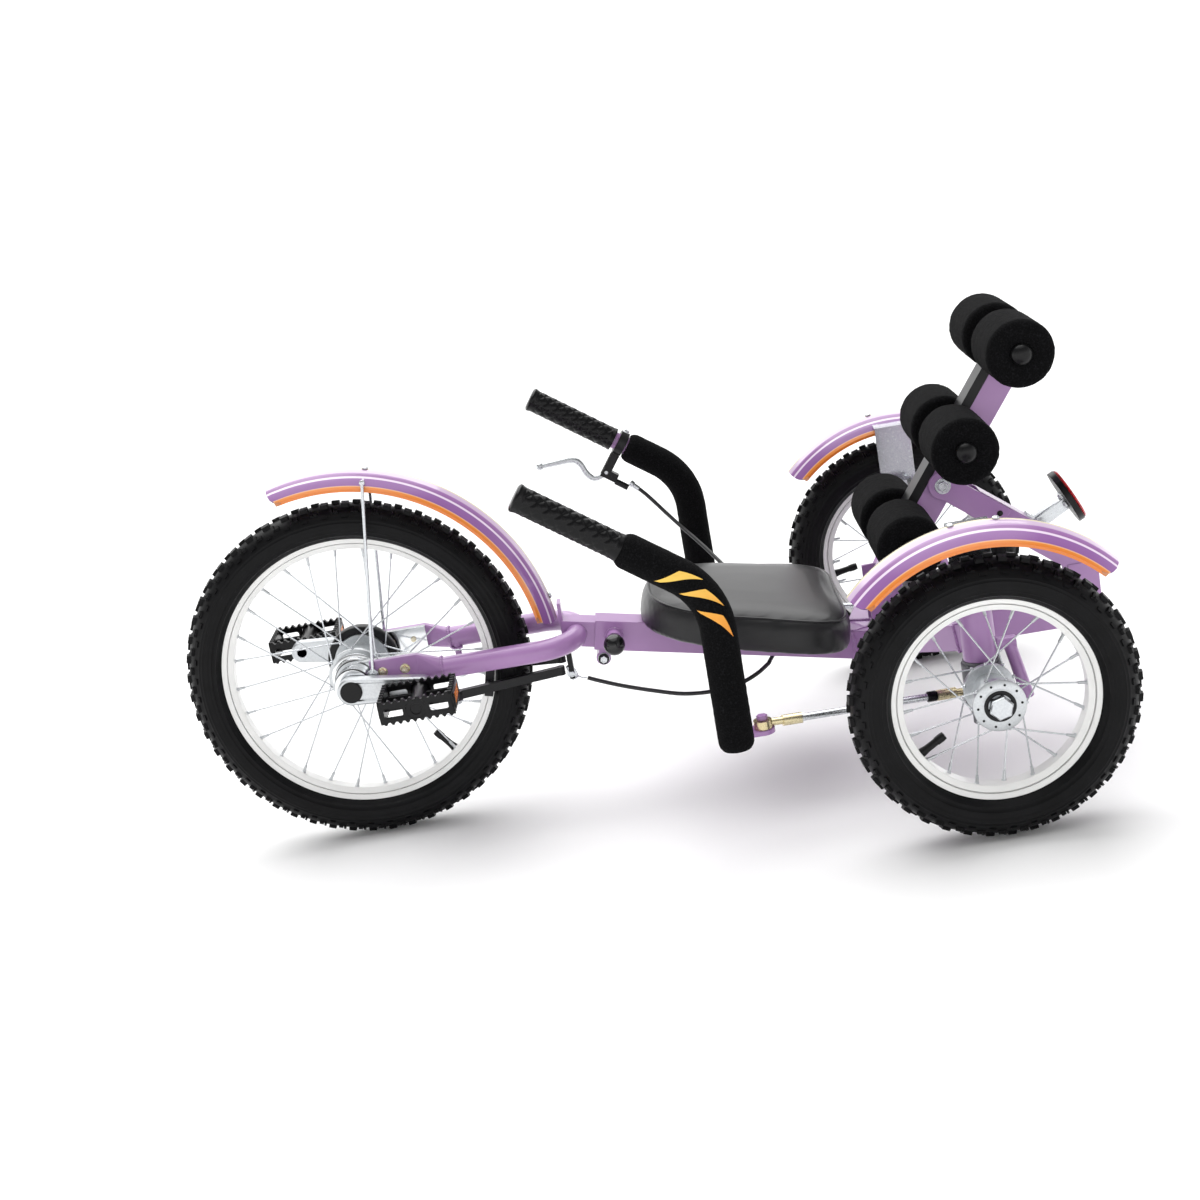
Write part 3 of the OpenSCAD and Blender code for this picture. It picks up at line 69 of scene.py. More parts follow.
# Brake cable: one black cable in a PVC sleeve, in two runs. The first bends with the
# steering from the lever to a clip under the frame, the second follows the sliding fork.
cable_d, cable_rings = 5.0 * mm, 33
lever_run = [(-14, -280, 308), (-32, -276, 290), (-62, -256, 255), (-96, -214, 222), (-124, -168, 193),
             (-146, -118, 167), (-156, -70, 146), (-154, -28, 133), (-144.7, -2, 127.4)]
fork_run = [(-144, 0, 127), (-128, 13, 121), (-106, 21, 115), (-76, 24, 112), (-40, 22, 114),
            (-6, 14, 121), (28, 6, 130), (54, 1, 139), (70, 0, 146)]


def linear(hex_colour):
    """An sRGB hex colour as linear RGBA."""
    parts = [int(hex_colour[i:i + 2], 16) / 255 for i in (1, 3, 5)]
    return [c / 12.92 if c <= 0.04045 else ((c + 0.055) / 1.055) ** 2.4 for c in parts] + [1.0]


def finish(name, base, roughness, **sockets):
    """A material with its uniform values on the shader's own sockets; returns it and the shader."""
    material = bpy.data.materials.new(name)
    material.use_nodes = True
    shader = material.node_tree.nodes["Principled BSDF"]
    shader.inputs["Base Color"].default_value = linear(base)
    shader.inputs["Roughness"].default_value = roughness
    for key, value in sockets.items():
        shader.inputs[key.replace("_", " ")].default_value = value
    return material, shader


def node(material, kind, inputs=None, feeds=(), stops=(), **settings):
    """Adds a node: settings are its properties, inputs its values or linked sockets,
    feeds the (output, socket) pairs it drives, stops a ramp's (place, hex) pairs."""
    made = material.node_tree.nodes.new(kind)
    for key, value in settings.items():
        setattr(made, key, value)
    for key, value in (inputs or {}).items():
        if isinstance(value, bpy.types.NodeSocket):
            material.node_tree.links.new(value, made.inputs[key])
        else:
            made.inputs[key].default_value = value
    if stops:
        points = made.color_ramp.elements
        points.remove(points[1])
        points[0].position, points[0].color = stops[0][0], linear(stops[0][1])
        for place, colour in stops[1:]:
            points.new(place).color = linear(colour)
    for output, socket in feeds:
        material.node_tree.links.new(made.outputs[output], socket)
    return made


def grained(name, base, roughness, grain, stops=(), detail=2.0, cells=False, gloss=None, relief=None,
            edge=None, edge_samples=4, **sockets):
    """A finish whose colour stops, gloss range and relief follow a grain of a real size, cloudy or in cells.
    The relief is (depth, strength), and may add a size and detail of its own; edge rounds corners."""
    material, shader = finish(name, base, roughness, **sockets)
    place = node(material, "ShaderNodeTexCoord")

    def reading(size, fineness):
        inputs = {"Vector": place.outputs["Object"], "Scale": 1 / size}
        if cells:
            return node(material, "ShaderNodeTexVoronoi", inputs).outputs["Distance"]
        return node(material, "ShaderNodeTexNoise", {**inputs, "Detail": fineness}).outputs["Fac"]

    level = reading(grain, detail)
    if stops:
        node(material, "ShaderNodeValToRGB", {"Fac": level}, [("Color", shader.inputs["Base Color"])], stops)
    if gloss:
        node(material, "ShaderNodeMapRange", {"Value": level, "To Min": gloss[0], "To Max": gloss[1]},
             [("Result", shader.inputs["Roughness"])])
    if relief:
        depth, strength, *own = relief
        bump = {"Height": reading(*own) if own else level, "Distance": depth, "Strength": strength}
        if edge:
            soft = node(material, "ShaderNodeBevel", {"Radius": edge}, samples=edge_samples)
            bump["Normal"] = soft.outputs["Normal"]
        node(material, "ShaderNodeBump", bump, [("Normal", shader.inputs["Normal"])])
    return material


def joined(parts):
    """Several (points, faces) as one."""
    points, faces = [], []
    for some_points, some_faces in parts:
        faces += [tuple(i + len(points) for i in face) for face in some_faces]
        points += some_points
    return points, faces


def piece(name, parts, material, body, smooth=True, stands_for=()):
    """Parts as one mesh that rides on a body and may stand for solids; its faces look outwards."""
    points, faces = joined(parts)
    mesh = bpy.data.meshes.new(name)
    mesh.from_pydata([tuple(p) for p in points], [], faces)
    work = bmesh.new()
    work.from_mesh(mesh)
    bmesh.ops.recalc_face_normals(work, faces=work.faces)
    work.to_mesh(mesh)
    work.free()
    made = bpy.data.objects.new(name, mesh)
    bpy.context.scene.collection.objects.link(made)
    mesh.materials.append(material)
    if smooth:
        mesh.shade_smooth()
        mesh.set_sharp_from_angle(angle=math.radians(38))
    if body:
        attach(made, body)
    if stands_for:
        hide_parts(*stands_for)
    return made


def flow(route, count):
    """A smooth line of count points through the route's points."""
    pts = [Vector(p) for p in route]
    pts = [2 * pts[0] - pts[1]] + pts + [2 * pts[-1] - pts[-2]]
    line, spans = [], len(pts) - 3
    for k in range(count):
        t = k * spans / (count - 1)
        i = min(int(t), spans - 1)
        a, b, c, d = pts[i:i + 4]
        f = t - i
        line.append(0.5 * (2 * b + (c - a) * f + (2 * a - 5 * b + 4 * c - d) * f * f
                           + (3 * b - a - 3 * c + d) * f ** 3))
    return line


def sheath(n, rings):
    """The faces between rings of n points each, and the two that close the ends."""
    faces = [(i * n + k, i * n + (k + 1) % n, (i + 1) * n + (k + 1) % n, (i + 1) * n + k)
             for i in range(rings - 1) for k in range(n)]
    return faces + [tuple(range(n)), tuple(range((rings - 1) * n, rings * n))]


def tube(line, radii, sides=12, hint=(0, 0, 1)):
    """A capped tube along a line, of one radius or a radius for each point."""
    points, n = [], len(line)
    radii = radii if isinstance(radii, (list, tuple)) else [radii] * n
    for i, p in enumerate(line):
        along = (line[min(i + 1, n - 1)] - line[max(i - 1, 0)]).normalized()
        side = along.cross(Vector(hint))
        side = side.normalized() if side.length > 1e-6 else along.orthogonal().normalized()
        up = side.cross(along)
        points += [p + radii[i] * (math.cos(a) * side + math.sin(a) * up)
                   for a in (2 * math.pi * k / sides for k in range(sides))]
    return points, sheath(sides, n)


# Extruded PVC: soft black gloss with a faint drawn streak.
cable_pvc = grained("extruded_black_pvc", "#1B1B1D", 0.38, 3.0 * mm, [(0.35, "#18181A"), (0.65, "#232326")])
for name, run, far_body, solid, start, end in (
        ("cable_lever_run", lever_run, "steering", "brake_cable_rear", lever_run[-1], lever_run[0]),
        ("cable_fork_run", fork_run, "front_frame", "brake_cable_front", fork_run[0], fork_run[-1])):
    line = flow([Vector(p) * mm for p in run], cable_rings)
    cable = piece(name, [tube(line, cable_d / 2)], cable_pvc, None, stands_for=(solid,))
    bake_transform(cable)

# Studio: a plain pale floor in a white room, with one wide soft light overhead and a little
# behind. The floor is matte paper rolled out flat.
floor_half = 60.0
floor_mesh = bpy.data.meshes.new("studio_floor")
floor_mesh.from_pydata([(-floor_half, -floor_half, 0), (floor_half, -floor_half, 0),
                        (floor_half, floor_half, 0), (-floor_half, floor_half, 0)], [], [(0, 1, 2, 3)])
floor = bpy.data.objects.new("studio_floor", floor_mesh)
bpy.context.scene.collection.objects.link(floor)
# Matte paper: a faint mottle half a metre across and no gloss.
floor_mesh.materials.append(
    grained("matte_paper", "#F6F6F6", 0.92, 500 * mm, [(0.3, "#F4F4F4"), (0.7, "#F8F8F8")]))
room = bpy.data.worlds.new("white_room")
bpy.context.scene.world = room
room.use_nodes = True
backdrop = room.node_tree.nodes["Background"]
backdrop.inputs["Strength"].default_value = 1.7
# The room is bright overhead and at the horizon, and greyer between, so that metal shows its curves.
aim = node(room, "ShaderNodeTexCoord")
height = node(room, "ShaderNodeSeparateXYZ", {"Vector": aim.outputs["Generated"]})
node(room, "ShaderNodeValToRGB", {"Fac": height.outputs["Z"]}, [("Color", backdrop.inputs["Color"])],
     [(0.0, "#FFFFFF"), (0.12, "#FFFFFF"), (0.22, "#BFBFBF"), (0.42, "#A8A8A8"), (0.52, "#7A7A7A"),
      (0.80, "#7A7A7A"), (0.90, "#FFFFFF")])
lamp = bpy.data.lights.new("key", "SUN")
lamp.energy, lamp.angle = 2.6, math.radians(70)
light = bpy.data.objects.new("key", lamp)
light.rotation_euler = (-Vector((0.1, -0.55, 0.85))).to_track_quat("-Z", "Y").to_euler()
bpy.context.scene.collection.objects.link(light)

# Frame: square steel tube and plate, mitred, welded and powder coated in lavender.
# The spine slopes down from the fork to a level tail; side beams carry the rear wheels.
axle_f = Vector((0.333, 0, 0.204))
axle_r_x, axle_r_z, track, kingpin_y = -0.355, 0.152, 0.300, 0.240
slope = math.radians(12)
spine_dir = Vector((-math.cos(slope), 0, -math.sin(slope)))
spine_up = Vector((-math.sin(slope), 0, math.cos(slope)))
X, Y, Z = Vector((1, 0, 0)), Vector((0, 1, 0)), Vector((0, 0, 1))
hands = ((1, "left"), (-1, "right"))


def dress(material, *names):
    """Gives carried-over solids one finish."""
    for name in names:
        cad[name].data.materials.clear()
        cad[name].data.materials.append(material)


# Powder coat: smooth gloss with a slight orange peel, a drift of shade, and soft rounded edges.
lavender_coat = grained("lavender_powder_coat", "#A57BB0", 0.3, 62.5 * mm,
                        [(0.35, "#A177AC"), (0.65, "#AB81B6")], detail=3.0,
                        relief=(0.05 * mm, 0.4, 1.4 * mm, 1.0), edge=1.5 * mm, edge_samples=6,
                        Coat_Weight=0.4, Coat_Roughness=0.1)
dress(lavender_coat, "main_frame", "front_fork", "steering_bar", "backrest_post")


def spine_point(x):
    """A point on the spine's centre line."""
    return Vector((x, 0, 0.206 - (0.073 - x) * math.tan(slope)))


def weld(corners, wire=2.0 * mm, ripple=3.4 * mm):
    """A rippled bead of weld along a closed line of corners."""
    line = []
    for a, b in zip(corners, corners[1:] + corners[:1]):
        steps = max(2, int((b - a).length / (ripple / 4)))
        line += [a.lerp(b, k / steps) for k in range(steps)]
    line.append(line[0])
    lengths = [0.0]
    for a, b in zip(line, line[1:]):
        lengths.append(lengths[-1] + (b - a).length)
    return tube(line, [wire * (1 + 0.2 * math.sin(2 * math.pi * s / ripple)) for s in lengths], 6,
                hint=(0.3, 0.5, 0.8))


def box_loop(centre, across, up, half_w, half_h):
    """The corners of a rectangle."""
    return [centre + across * half_w * i + up * half_h * j for i, j in ((1, 1), (-1, 1), (-1, -1), (1, -1))]


def ring_loop(centre, across, up, radius, count=28):
    """The points of a circle."""
    return [centre + radius * (math.cos(a) * across + math.sin(a) * up)
            for a in (2 * math.pi * k / count for k in range(count))]


beads = [weld(ring_loop(Vector((0.030, 0.0176, 0.1969)), X, Z, 9.2 * mm)),
         weld(ring_loop(Vector((-0.087, 0, 0.1535)), X, Y, 14.2 * mm))]
beam_root, beam_tip = Vector((-0.252, 0, 0.1372)), Vector((axle_r_x, kingpin_y, 0.201))
bead_half_w, bead_half_h = 15.2 * mm, 14.2 * mm
for side in (-1, 1):
    tip = Vector((beam_tip.x, side * beam_tip.y, beam_tip.z))
    along = (tip - beam_root).normalized()
    over = along.cross(Z).normalized()
    for middle in (tip - along * 19 * mm, beam_root + along * 22 * mm):
        beads.append(weld(box_loop(middle, over, over.cross(along), bead_half_w, bead_half_h)))
    arm_foot = Vector((axle_r_x - 18.5 * mm, side * kingpin_y, 0.187))
    beads.append(weld(ring_loop(arm_foot, Y, Z, 7 * mm), 1.6 * mm))
piece("frame_welds", beads, lavender_coat, "main")

# Frame bolts: plated hexagon bolts with washers and nuts pin the backrest post, its foot
# and the clamp at the spine's front end.
# Bright zinc plate: pale, slightly blue metal with faint drawing marks.
zinc_plate = grained("bright_zinc_plated_steel", "#C9CCD1", 0.26, 2.5 * mm,
                     [(0.3, "#C6C9CD"), (0.7, "#D4D7DA")], detail=4.0, gloss=(0.22, 0.3),
                     relief=(0.012 * mm, 0.2), edge=0.8 * mm, Metallic=1.0)
# Yellow passivated zinc: a pale warm plate with an uneven rainbow tint.
gold_plate = grained("yellow_zinc_plated_steel", "#D2C49C", 0.26, 6.0 * mm,
                     [(0.35, "#D3C69F"), (0.5, "#E2DAC4"), (0.68, "#C7B58C")], Metallic=1.0)


def turned(profile, centre, axis, count=24, unit=mm):
    """A profile of (radius, along) pairs in a unit turned about an axis; zero radii close its ends."""
    axis = Vector(axis).normalized()
    over = axis.orthogonal().normalized()
    up = axis.cross(over)
    points, faces, rings = [], [], []
    for r, y in profile:
        if r * unit < 1e-7:
            rings.append([len(points)] * count)
            points.append(centre + axis * (y * unit))
        else:
            rings.append(list(range(len(points), len(points) + count)))
            points += [centre + axis * (y * unit) + r * unit * (math.cos(a) * over + math.sin(a) * up)
                       for a in (2 * math.pi * k / count for k in range(count))]
    for low, high in zip(rings, rings[1:]):
        for k in range(count):
            j = (k + 1) % count
            face = tuple(dict.fromkeys((low[k], low[j], high[j], high[k])))
            if len(face) > 2:
                faces.append(face)
    return points, faces


def pin(centre, axis, radius, start, end, count=24):
    """A plain round pin between two places along an axis, in millimetres."""
    return turned([(0, start), (radius, start), (radius, end), (0, end)], centre, axis, count)


def hex_head(seat, axis, flats, height, washer=1.5, stud=0.0):
    """A washer and a chamfered hexagon head, or a nut with its stud showing, on a seat; in millimetres."""
    r, top = flats / math.sqrt(3), washer + height
    parts = [turned([(0, 0), (flats * 0.82, 0), (flats * 0.86, washer * 0.5), (flats * 0.82, washer),
                     (0, washer)], seat, axis),
             turned([(0, washer), (r, washer), (r, washer + height * 0.82), (r * 0.87, top), (r * 0.55, top),
                     (r * 0.5, washer + height * 0.93), (0, washer + height * 0.93)], seat, axis, 6)]
    if stud:
        parts.append(turned([(flats * 0.28, washer + height * 0.9), (flats * 0.28, top + stud * 0.8),
                             (flats * 0.2, top + stud), (0, top + stud)], seat, axis, 14))
    return joined(parts)


frame_bolts = []
post_bolt, foot_bolt, clamp_bolt = (
    Vector(p) * mm for p in ((-370, 0, 310), (-290, 0, 201.3), (46.3, 0, 172)))
for spot, reach, flats, shank in ((post_bolt, 21.4, 11, 4.5), (foot_bolt, 21.4, 11, 4.5),
                                  (clamp_bolt, 17.1, 8.4, 3.5)):
    frame_bolts.append(pin(spot, Y, shank, -reach, reach))
    frame_bolts.append(hex_head(spot + Y * reach * mm, Y, flats, 5.5))
    frame_bolts.append(hex_head(spot - Y * reach * mm, -Y, flats, 6.5, stud=2.5))
piece("frame_bolts_hex", frame_bolts, zinc_plate, "main", stands_for=("frame_bolts",))
dress(zinc_plate, "steering_pivot")

# Tube plugs: moulded black caps pressed into the open ends of the square tubes, into the
# holes at the strut's clevis and round the clamp bolt.
# Moulded polyethylene: deep black, waxy sheen, a fine spark-eroded grain.
black_poly = grained("moulded_black_polyethylene", "#0A0A0B", 0.28, 0.9 * mm,
                     [(0.3, "#070708"), (0.7, "#0F0F11")], detail=3.0, relief=(0.05 * mm, 0.5), edge=0.9 * mm,
                     Specular_IOR_Level=0.25)


def rounded(half_w, half_h, corner):
    """The outline of a rectangle with round corners, as (across, up) pairs."""
    return [(cx * (half_w - corner) + corner * math.cos(a), cy * (half_h - corner) + corner * math.sin(a))
            for cx, cy, a0 in ((1, 1, 0), (-1, 1, 90), (-1, -1, 180), (1, -1, 270))
            for a in (math.radians(a0 + 18 * s) for s in range(6))]


def plug(centre, across, up, half_w, half_h, thick, corner=3.5 * mm):
    """A low domed plate with round corners that closes a square tube."""
    rim, out = rounded(half_w, half_h, corner), across.cross(up)
    layers = ((1, -0.4), (1, 0.6), (0.93, 1.0), (0.45, 1.15))
    points = [centre + (across * u + up * v) * scale + out * thick * lift
              for scale, lift in layers for u, v in rim]
    return points, sheath(len(rim), len(layers))


lean = math.radians(36.4)
post_up = Vector((-math.sin(lean), 0, math.cos(lean)))
post_fore = Vector((math.cos(lean), 0, math.sin(lean)))
post_top, post_foot = 206 * mm, -150 * mm
post_half_w, post_half_d, plug_t = 15.8 * mm, 14.8 * mm, 3 * mm
clamp_ring = [(4.4, 0), (6.4, 0), (6.4, 3.2), (5.6, 4.4), (4.4, 4.4)]
hole_plug = [(3.4, -0.4), (3.4, 0.5), (2.6, 1), (0, 1.2)]
piece("tube_plugs", [
    plug(post_bolt + post_up * post_top, post_fore, Y, post_half_d, post_half_w, plug_t),
    plug(post_bolt + post_up * post_foot, Y, post_fore, post_half_w, post_half_d, plug_t),
    turned(clamp_ring, clamp_bolt + Y * 18.4 * mm, Y, 28),
    *(turned(hole_plug, Vector((-431 * mm, side * 21.3 * mm, 267 * mm)), Y * side, 24) for side in (-1, 1))],
    black_poly, "main")

# Seat: a foam pad on a pressed base plate, covered in charcoal vinyl that is drawn tight
# over the crown and piped round the top edge.
seat_origin = spine_point(-0.116) + spine_up * 17.5 * mm
seat_fore = -spine_dir
pad_base, pad_top = 4 * mm, 42 * mm
dress(black_poly, "seat_base")
# Vinyl: charcoal with a satin sheen over a fine pressed leather grain of about 1.5 mm, and a
# drift of shade in clouds of about 33 mm.
charcoal_vinyl, shader = finish("embossed_charcoal_vinyl", "#161618", 0.38, Specular_IOR_Level=0.3,
                                Coat_Weight=0.2, Coat_Roughness=0.28)
place = node(charcoal_vinyl, "ShaderNodeTexCoord")
cells = node(charcoal_vinyl, "ShaderNodeTexVoronoi",
             {"Vector": place.outputs["Object"], "Scale": 1 / (1.5 * mm)}, feature="DISTANCE_TO_EDGE")
cloud = node(charcoal_vinyl, "ShaderNodeTexNoise",
             {"Vector": place.outputs["Object"], "Scale": 30.0, "Detail": 4.0})
node(charcoal_vinyl, "ShaderNodeValToRGB", {"Fac": cloud.outputs["Fac"]},
     [("Color", shader.inputs["Base Color"])], [(0.3, "#121214"), (0.7, "#1B1B1D")])
node(charcoal_vinyl, "ShaderNodeBump",
     {"Height": cells.outputs["Distance"], "Distance": 0.15 * mm, "Strength": 0.35},
     [("Normal", shader.inputs["Normal"])])


def in_seat(p):
    """A row-frame point in the seat's own frame: forward, left, up."""
    d = Vector(p) - seat_origin
    return Vector((d.dot(seat_fore), d.y, d.dot(spine_up)))


def from_seat(p):
    """The seat's own frame back to the row frame."""
    return seat_origin + seat_fore * p[0] + Y * p[1] + spine_up * p[2]


def shaped(thing):
    """The mesh that an object's modifiers give it now."""
    return bpy.data.meshes.new_from_object(thing.evaluated_get(bpy.context.evaluated_depsgraph_get()))


cushion = bpy.data.objects.new("seat_cushion", cad["seat_pad"].data.copy())
bpy.context.scene.collection.objects.link(cushion)
# The cover is fuller than the pad on its sides and wraps down over the edge of the base.
pad_limit, cover_low, voxel, taut_rounds = 3.0 * mm, 0.3 * mm, 5.0 * mm, 90
cover_long, cover_wide, hem = 1.02, 1.05, 3 * mm
swell_force, swell_frames, evening = 4.0, 20, 0.6
for v in cushion.data.vertices:
    local = in_seat(v.co)
    drop = (pad_top - local.z) * (pad_top - cover_low) / (pad_top - pad_base)
    v.co = from_seat((local.x * cover_long, local.y * cover_wide, pad_top - drop))
bpy.context.view_layer.objects.active = cushion
skin = cushion.modifiers.new("even_skin", "REMESH")
skin.mode, skin.voxel_size = "VOXEL", voxel
bpy.context.view_layer.update()
even = shaped(cushion)
cushion.modifiers.clear()
cushion.data = even
rest_shape = [v.co.copy() for v in even.vertices]
held = cushion.vertex_groups.new(name="on_base")
held.add([v.index for v in even.vertices if in_seat(v.co).z < cover_low + hem], 1.0, "REPLACE")
swell = cushion.modifiers.new("swell", "CLOTH")
swell.settings.use_pressure = True
swell.settings.uniform_pressure_force = swell_force
swell.settings.effector_weights.gravity = 0.0
swell.settings.vertex_group_mass = "on_base"
for number in range(1, swell_frames + 1):
    bpy.context.scene.frame_set(number)
blown = shaped(cushion)
cushion.modifiers.clear()
cushion.vertex_groups.clear()
cushion.data = blown
# The vinyl is drawn taut: the swelling is evened out over the neighbours until no fold is left.
steps = [v.co - was for v, was in zip(blown.vertices, rest_shape)]
beside = [[] for v in blown.vertices]
for edge in blown.edges:
    beside[edge.vertices[0]].append(edge.vertices[1])
    beside[edge.vertices[1]].append(edge.vertices[0])
for number in range(taut_rounds):
    steps = [step.lerp(sum((steps[j] for j in beside[i]), Vector()) / len(beside[i]), evening)
             for i, step in enumerate(steps)]
for v, was, step in zip(blown.vertices, rest_shape, steps):
    local = in_seat(was + step * min(1.0, pad_limit / max(step.length, 1e-9)))
    local.z = max(local.z, cover_low)
    v.co = from_seat(local)
bpy.context.scene.frame_set(1)
cushion.data.materials.clear()
cushion.data.materials.append(charcoal_vinyl)
cushion.data.shade_smooth()
cushion.modifiers.new("smooth_skin", "SUBSURF").levels = 1
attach(cushion, "main")
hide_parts("seat_pad")

# Seat piping: a vinyl cord sewn into the seam where the top panel meets the side band.
# It follows the cover wherever the swelling has left it.
pad_len, rear_w, seam_z, cord_r, stitches = 236 * mm, 262 * mm, pad_top - 3.5 * mm, 1.7 * mm, 96
surface = BVHTree.FromPolygons([v.co for v in cushion.data.vertices],
                               [p.vertices for p in cushion.data.polygons])
seam, inner = [], from_seat((0, 0, seam_z))
for k in range(stitches):
    a = 2 * math.pi * k / stitches
    aim = from_seat((math.cos(a) * pad_len / 2, math.sin(a) * rear_w / 2, seam_z))
    hit = surface.ray_cast(aim + (aim - inner), (inner - aim).normalized())[0]
    seam.append(hit if hit else aim)
seam.append(seam[0])
piece("seat_piping", [tube(seam, cord_r, 8, hint=spine_up)], charcoal_vinyl, "main")

# Backrest: a flat strip lies along the post's front and three rods carry six foam rollers.
# The strip is black painted flat bar, and the rods are plated.
# Satin black paint: a low sheen that greys a little in the light, with a fine dust grain.
satin_black = grained("satin_black_paint", "#0D0D0F", 0.35, 1.6 * mm, [(0.3, "#0A0A0C"), (0.7, "#131316")],
                      detail=3.0, relief=(0.06 * mm, 0.4), edge=0.9 * mm, Specular_IOR_Level=0.3)
dress(satin_black, "backrest_strip", "brake_hanger", "lever_bracket", "left_brake_arm", "right_brake_arm")
dress(zinc_plate, "roller_rods")

# Rollers: cut and ground open-cell foam, soft at the ends, dished where the caps hold them.
# Domed caps are pressed on the rods' ends.
roller_steps = (175 * mm, 55 * mm, -67 * mm)
roller_r, roller_in, roller_out, rod_x, edge = 37.5 * mm, 22 * mm, 116 * mm, 20.5 * mm, 7 * mm
# Foam: dead black with a speckle of pores about 1.5 mm across.
black_foam = grained("ground_black_foam", "#0B0B0C", 0.95, 1.5 * mm,
                     [(0.1, "#030304"), (0.55, "#0A0A0B"), (0.95, "#18181A")], cells=True,
                     relief=(0.6 * mm, 0.8), Specular_IOR_Level=0.1)


def roughened(points, middle_of, depth, grain):
    """Points pushed out and in from their middles by foam grain; the noise is a fixed one."""
    moved = []
    for k, p in enumerate(points):
        off = p - middle_of(k, p)
        moved.append(p + off.normalized() * noise.noise(p / grain) * depth if off.length > 1e-6 else p)
    return moved


rollers, caps = [], []
length = roller_out - roller_in
arc = [math.radians(a) for a in range(0, 91, 15)]
cap = [(4, -3), (11.2, -2.2), (12, -0.6), (11.4, 1.6), (9.4, 4), (6.2, 5.8), (3, 6.6), (0, 6.8)]
profile = [(6 * mm, 1.5 * mm), (14 * mm, 0.6 * mm)]
profile += [(roller_r - edge + edge * math.sin(a), edge - edge * math.cos(a)) for a in arc]
profile += [(roller_r, edge + (length - 2 * edge) * k / 26) for k in range(1, 26)]
profile += [(roller_r - edge + edge * math.cos(a), length - edge + edge * math.sin(a)) for a in arc]
profile += [(22 * mm, length - 0.4 * mm), (15 * mm, length - 1.2 * mm), (6 * mm, length - 1.6 * mm)]
for step in roller_steps:
    middle = post_bolt + post_up * step + post_fore * rod_x
    for side in (-1, 1):
        axis, start = Y * side, middle + Y * side * roller_in
        points, faces = turned(profile, start, axis, 72, 1.0)
        rollers.append((roughened(points, lambda k, p: start + axis * (p - start).dot(axis),
                                  0.55 * mm, 3.2 * mm), faces))
        caps.append(turned(cap, middle + axis * (roller_out + 2 * mm), axis, 32))
foam_rollers = piece("foam_rollers", rollers, black_foam, "main", stands_for=("roller_pads",))
piece("roller_end_caps", caps, black_poly, "main", stands_for=("roller_caps",))

# Reflector: a red prism lens in a black cup, on a pale bent strip riveted to the strut.
# The strip's left edge is folded up into a web that faces sideways, with a rivet near each end.
lens_tilt = math.radians(64)
lens_out = Vector((-math.sin(lens_tilt), 0, math.cos(lens_tilt)))
lens_up = Vector((math.cos(lens_tilt), 0, math.sin(lens_tilt)))
lens_seat = Vector((-0.509, 0, 0.267))
lens_r, cup_t = 33, 7 * mm
dress(black_poly, "reflector_housing")
dress(zinc_plate, "reflector_bracket")
# Acrylic: clear deep red over white-backed prisms, with a polished face.
red_acrylic = grained("moulded_red_acrylic", "#C4101C", 0.12, 2.4 * mm,
                      [(0.1, "#E2202C"), (0.5, "#B50D18"), (0.9, "#7A060E")], cells=True,
                      IOR=1.49, Coat_Weight=0.6)


def prisms(centre, across, up, inside, pitch, height, base):
    """A plate of low pyramids; inside(x, y) says where the plate is."""
    out, points, faces, spots = across.cross(up), [], [], {}
    reach = int(40 * mm / pitch) + 1

    def spot(i, j):
        if (i, j) not in spots:
            spots[(i, j)] = len(points)
            points.append(centre + across * i * pitch / 2 + up * j * pitch / 2
                          + out * (base + (height if i % 2 and j % 2 else 0.0)))
        return spots[(i, j)]

    for i in range(-reach, reach):
        for j in range(-reach, reach):
            if inside((2 * i + 1) * pitch / 2, (2 * j + 1) * pitch / 2):
                tip = spot(2 * i + 1, 2 * j + 1)
                ring = [spot(2 * i + u, 2 * j + v) for u, v in ((0, 0), (2, 0), (2, 2), (0, 2))]
                faces += [(ring[k], ring[(k + 1) % 4], tip) for k in range(4)]
    return points, faces


lens_dome = [(0, 0.2), (lens_r - 1.5, 0.2), (lens_r - 0.6, 1.6), (lens_r - 2, 3.2), (lens_r * 0.6, 4.6),
             (lens_r * 0.3, 5.2), (0, 5.4)]
piece("reflector_prisms", [
    turned(lens_dome, lens_seat + lens_out * cup_t, lens_out, 48),
    prisms(lens_seat + lens_out * cup_t, Y, lens_up, lambda x, y: math.hypot(x, y) < lens_r * mm * 0.62,
           3.6 * mm, 0.9 * mm, 5.2 * mm)],
    red_acrylic, "main", smooth=False, stands_for=("reflector_lens",))
arm_low, arm_high, arm_half_h = Vector((-476, 7, 244)) * mm, Vector((-512, 7, 263)) * mm, 7.2 * mm
arm_along = (arm_high - arm_low).normalized()
arm_rivet = [(0, 1), (3.2, 1), (2.8, 2.4), (1.4, 3), (0, 3.1)]
cup_rivet = [(0, 0), (3.6, 0), (3.2, 1.2), (1.6, 1.9), (0, 2)]
piece("reflector_arm", [
    plug((arm_low + arm_high) / 2, arm_along, Y.cross(arm_along), (arm_high - arm_low).length / 2 + 4 * mm,
         arm_half_h, 1.6 * mm, 4 * mm),
    *(turned(arm_rivet, spot, Y, 16) for spot in (arm_low, arm_high - arm_along * 3 * mm))],
    zinc_plate, "main")
piece("reflector_rivets",
      [turned(cup_rivet, lens_seat - lens_out * 3.2 * mm + lens_up * lift, -lens_out, 16)
       for lift in (-3.5 * mm, 3.5 * mm)], zinc_plate, "main")

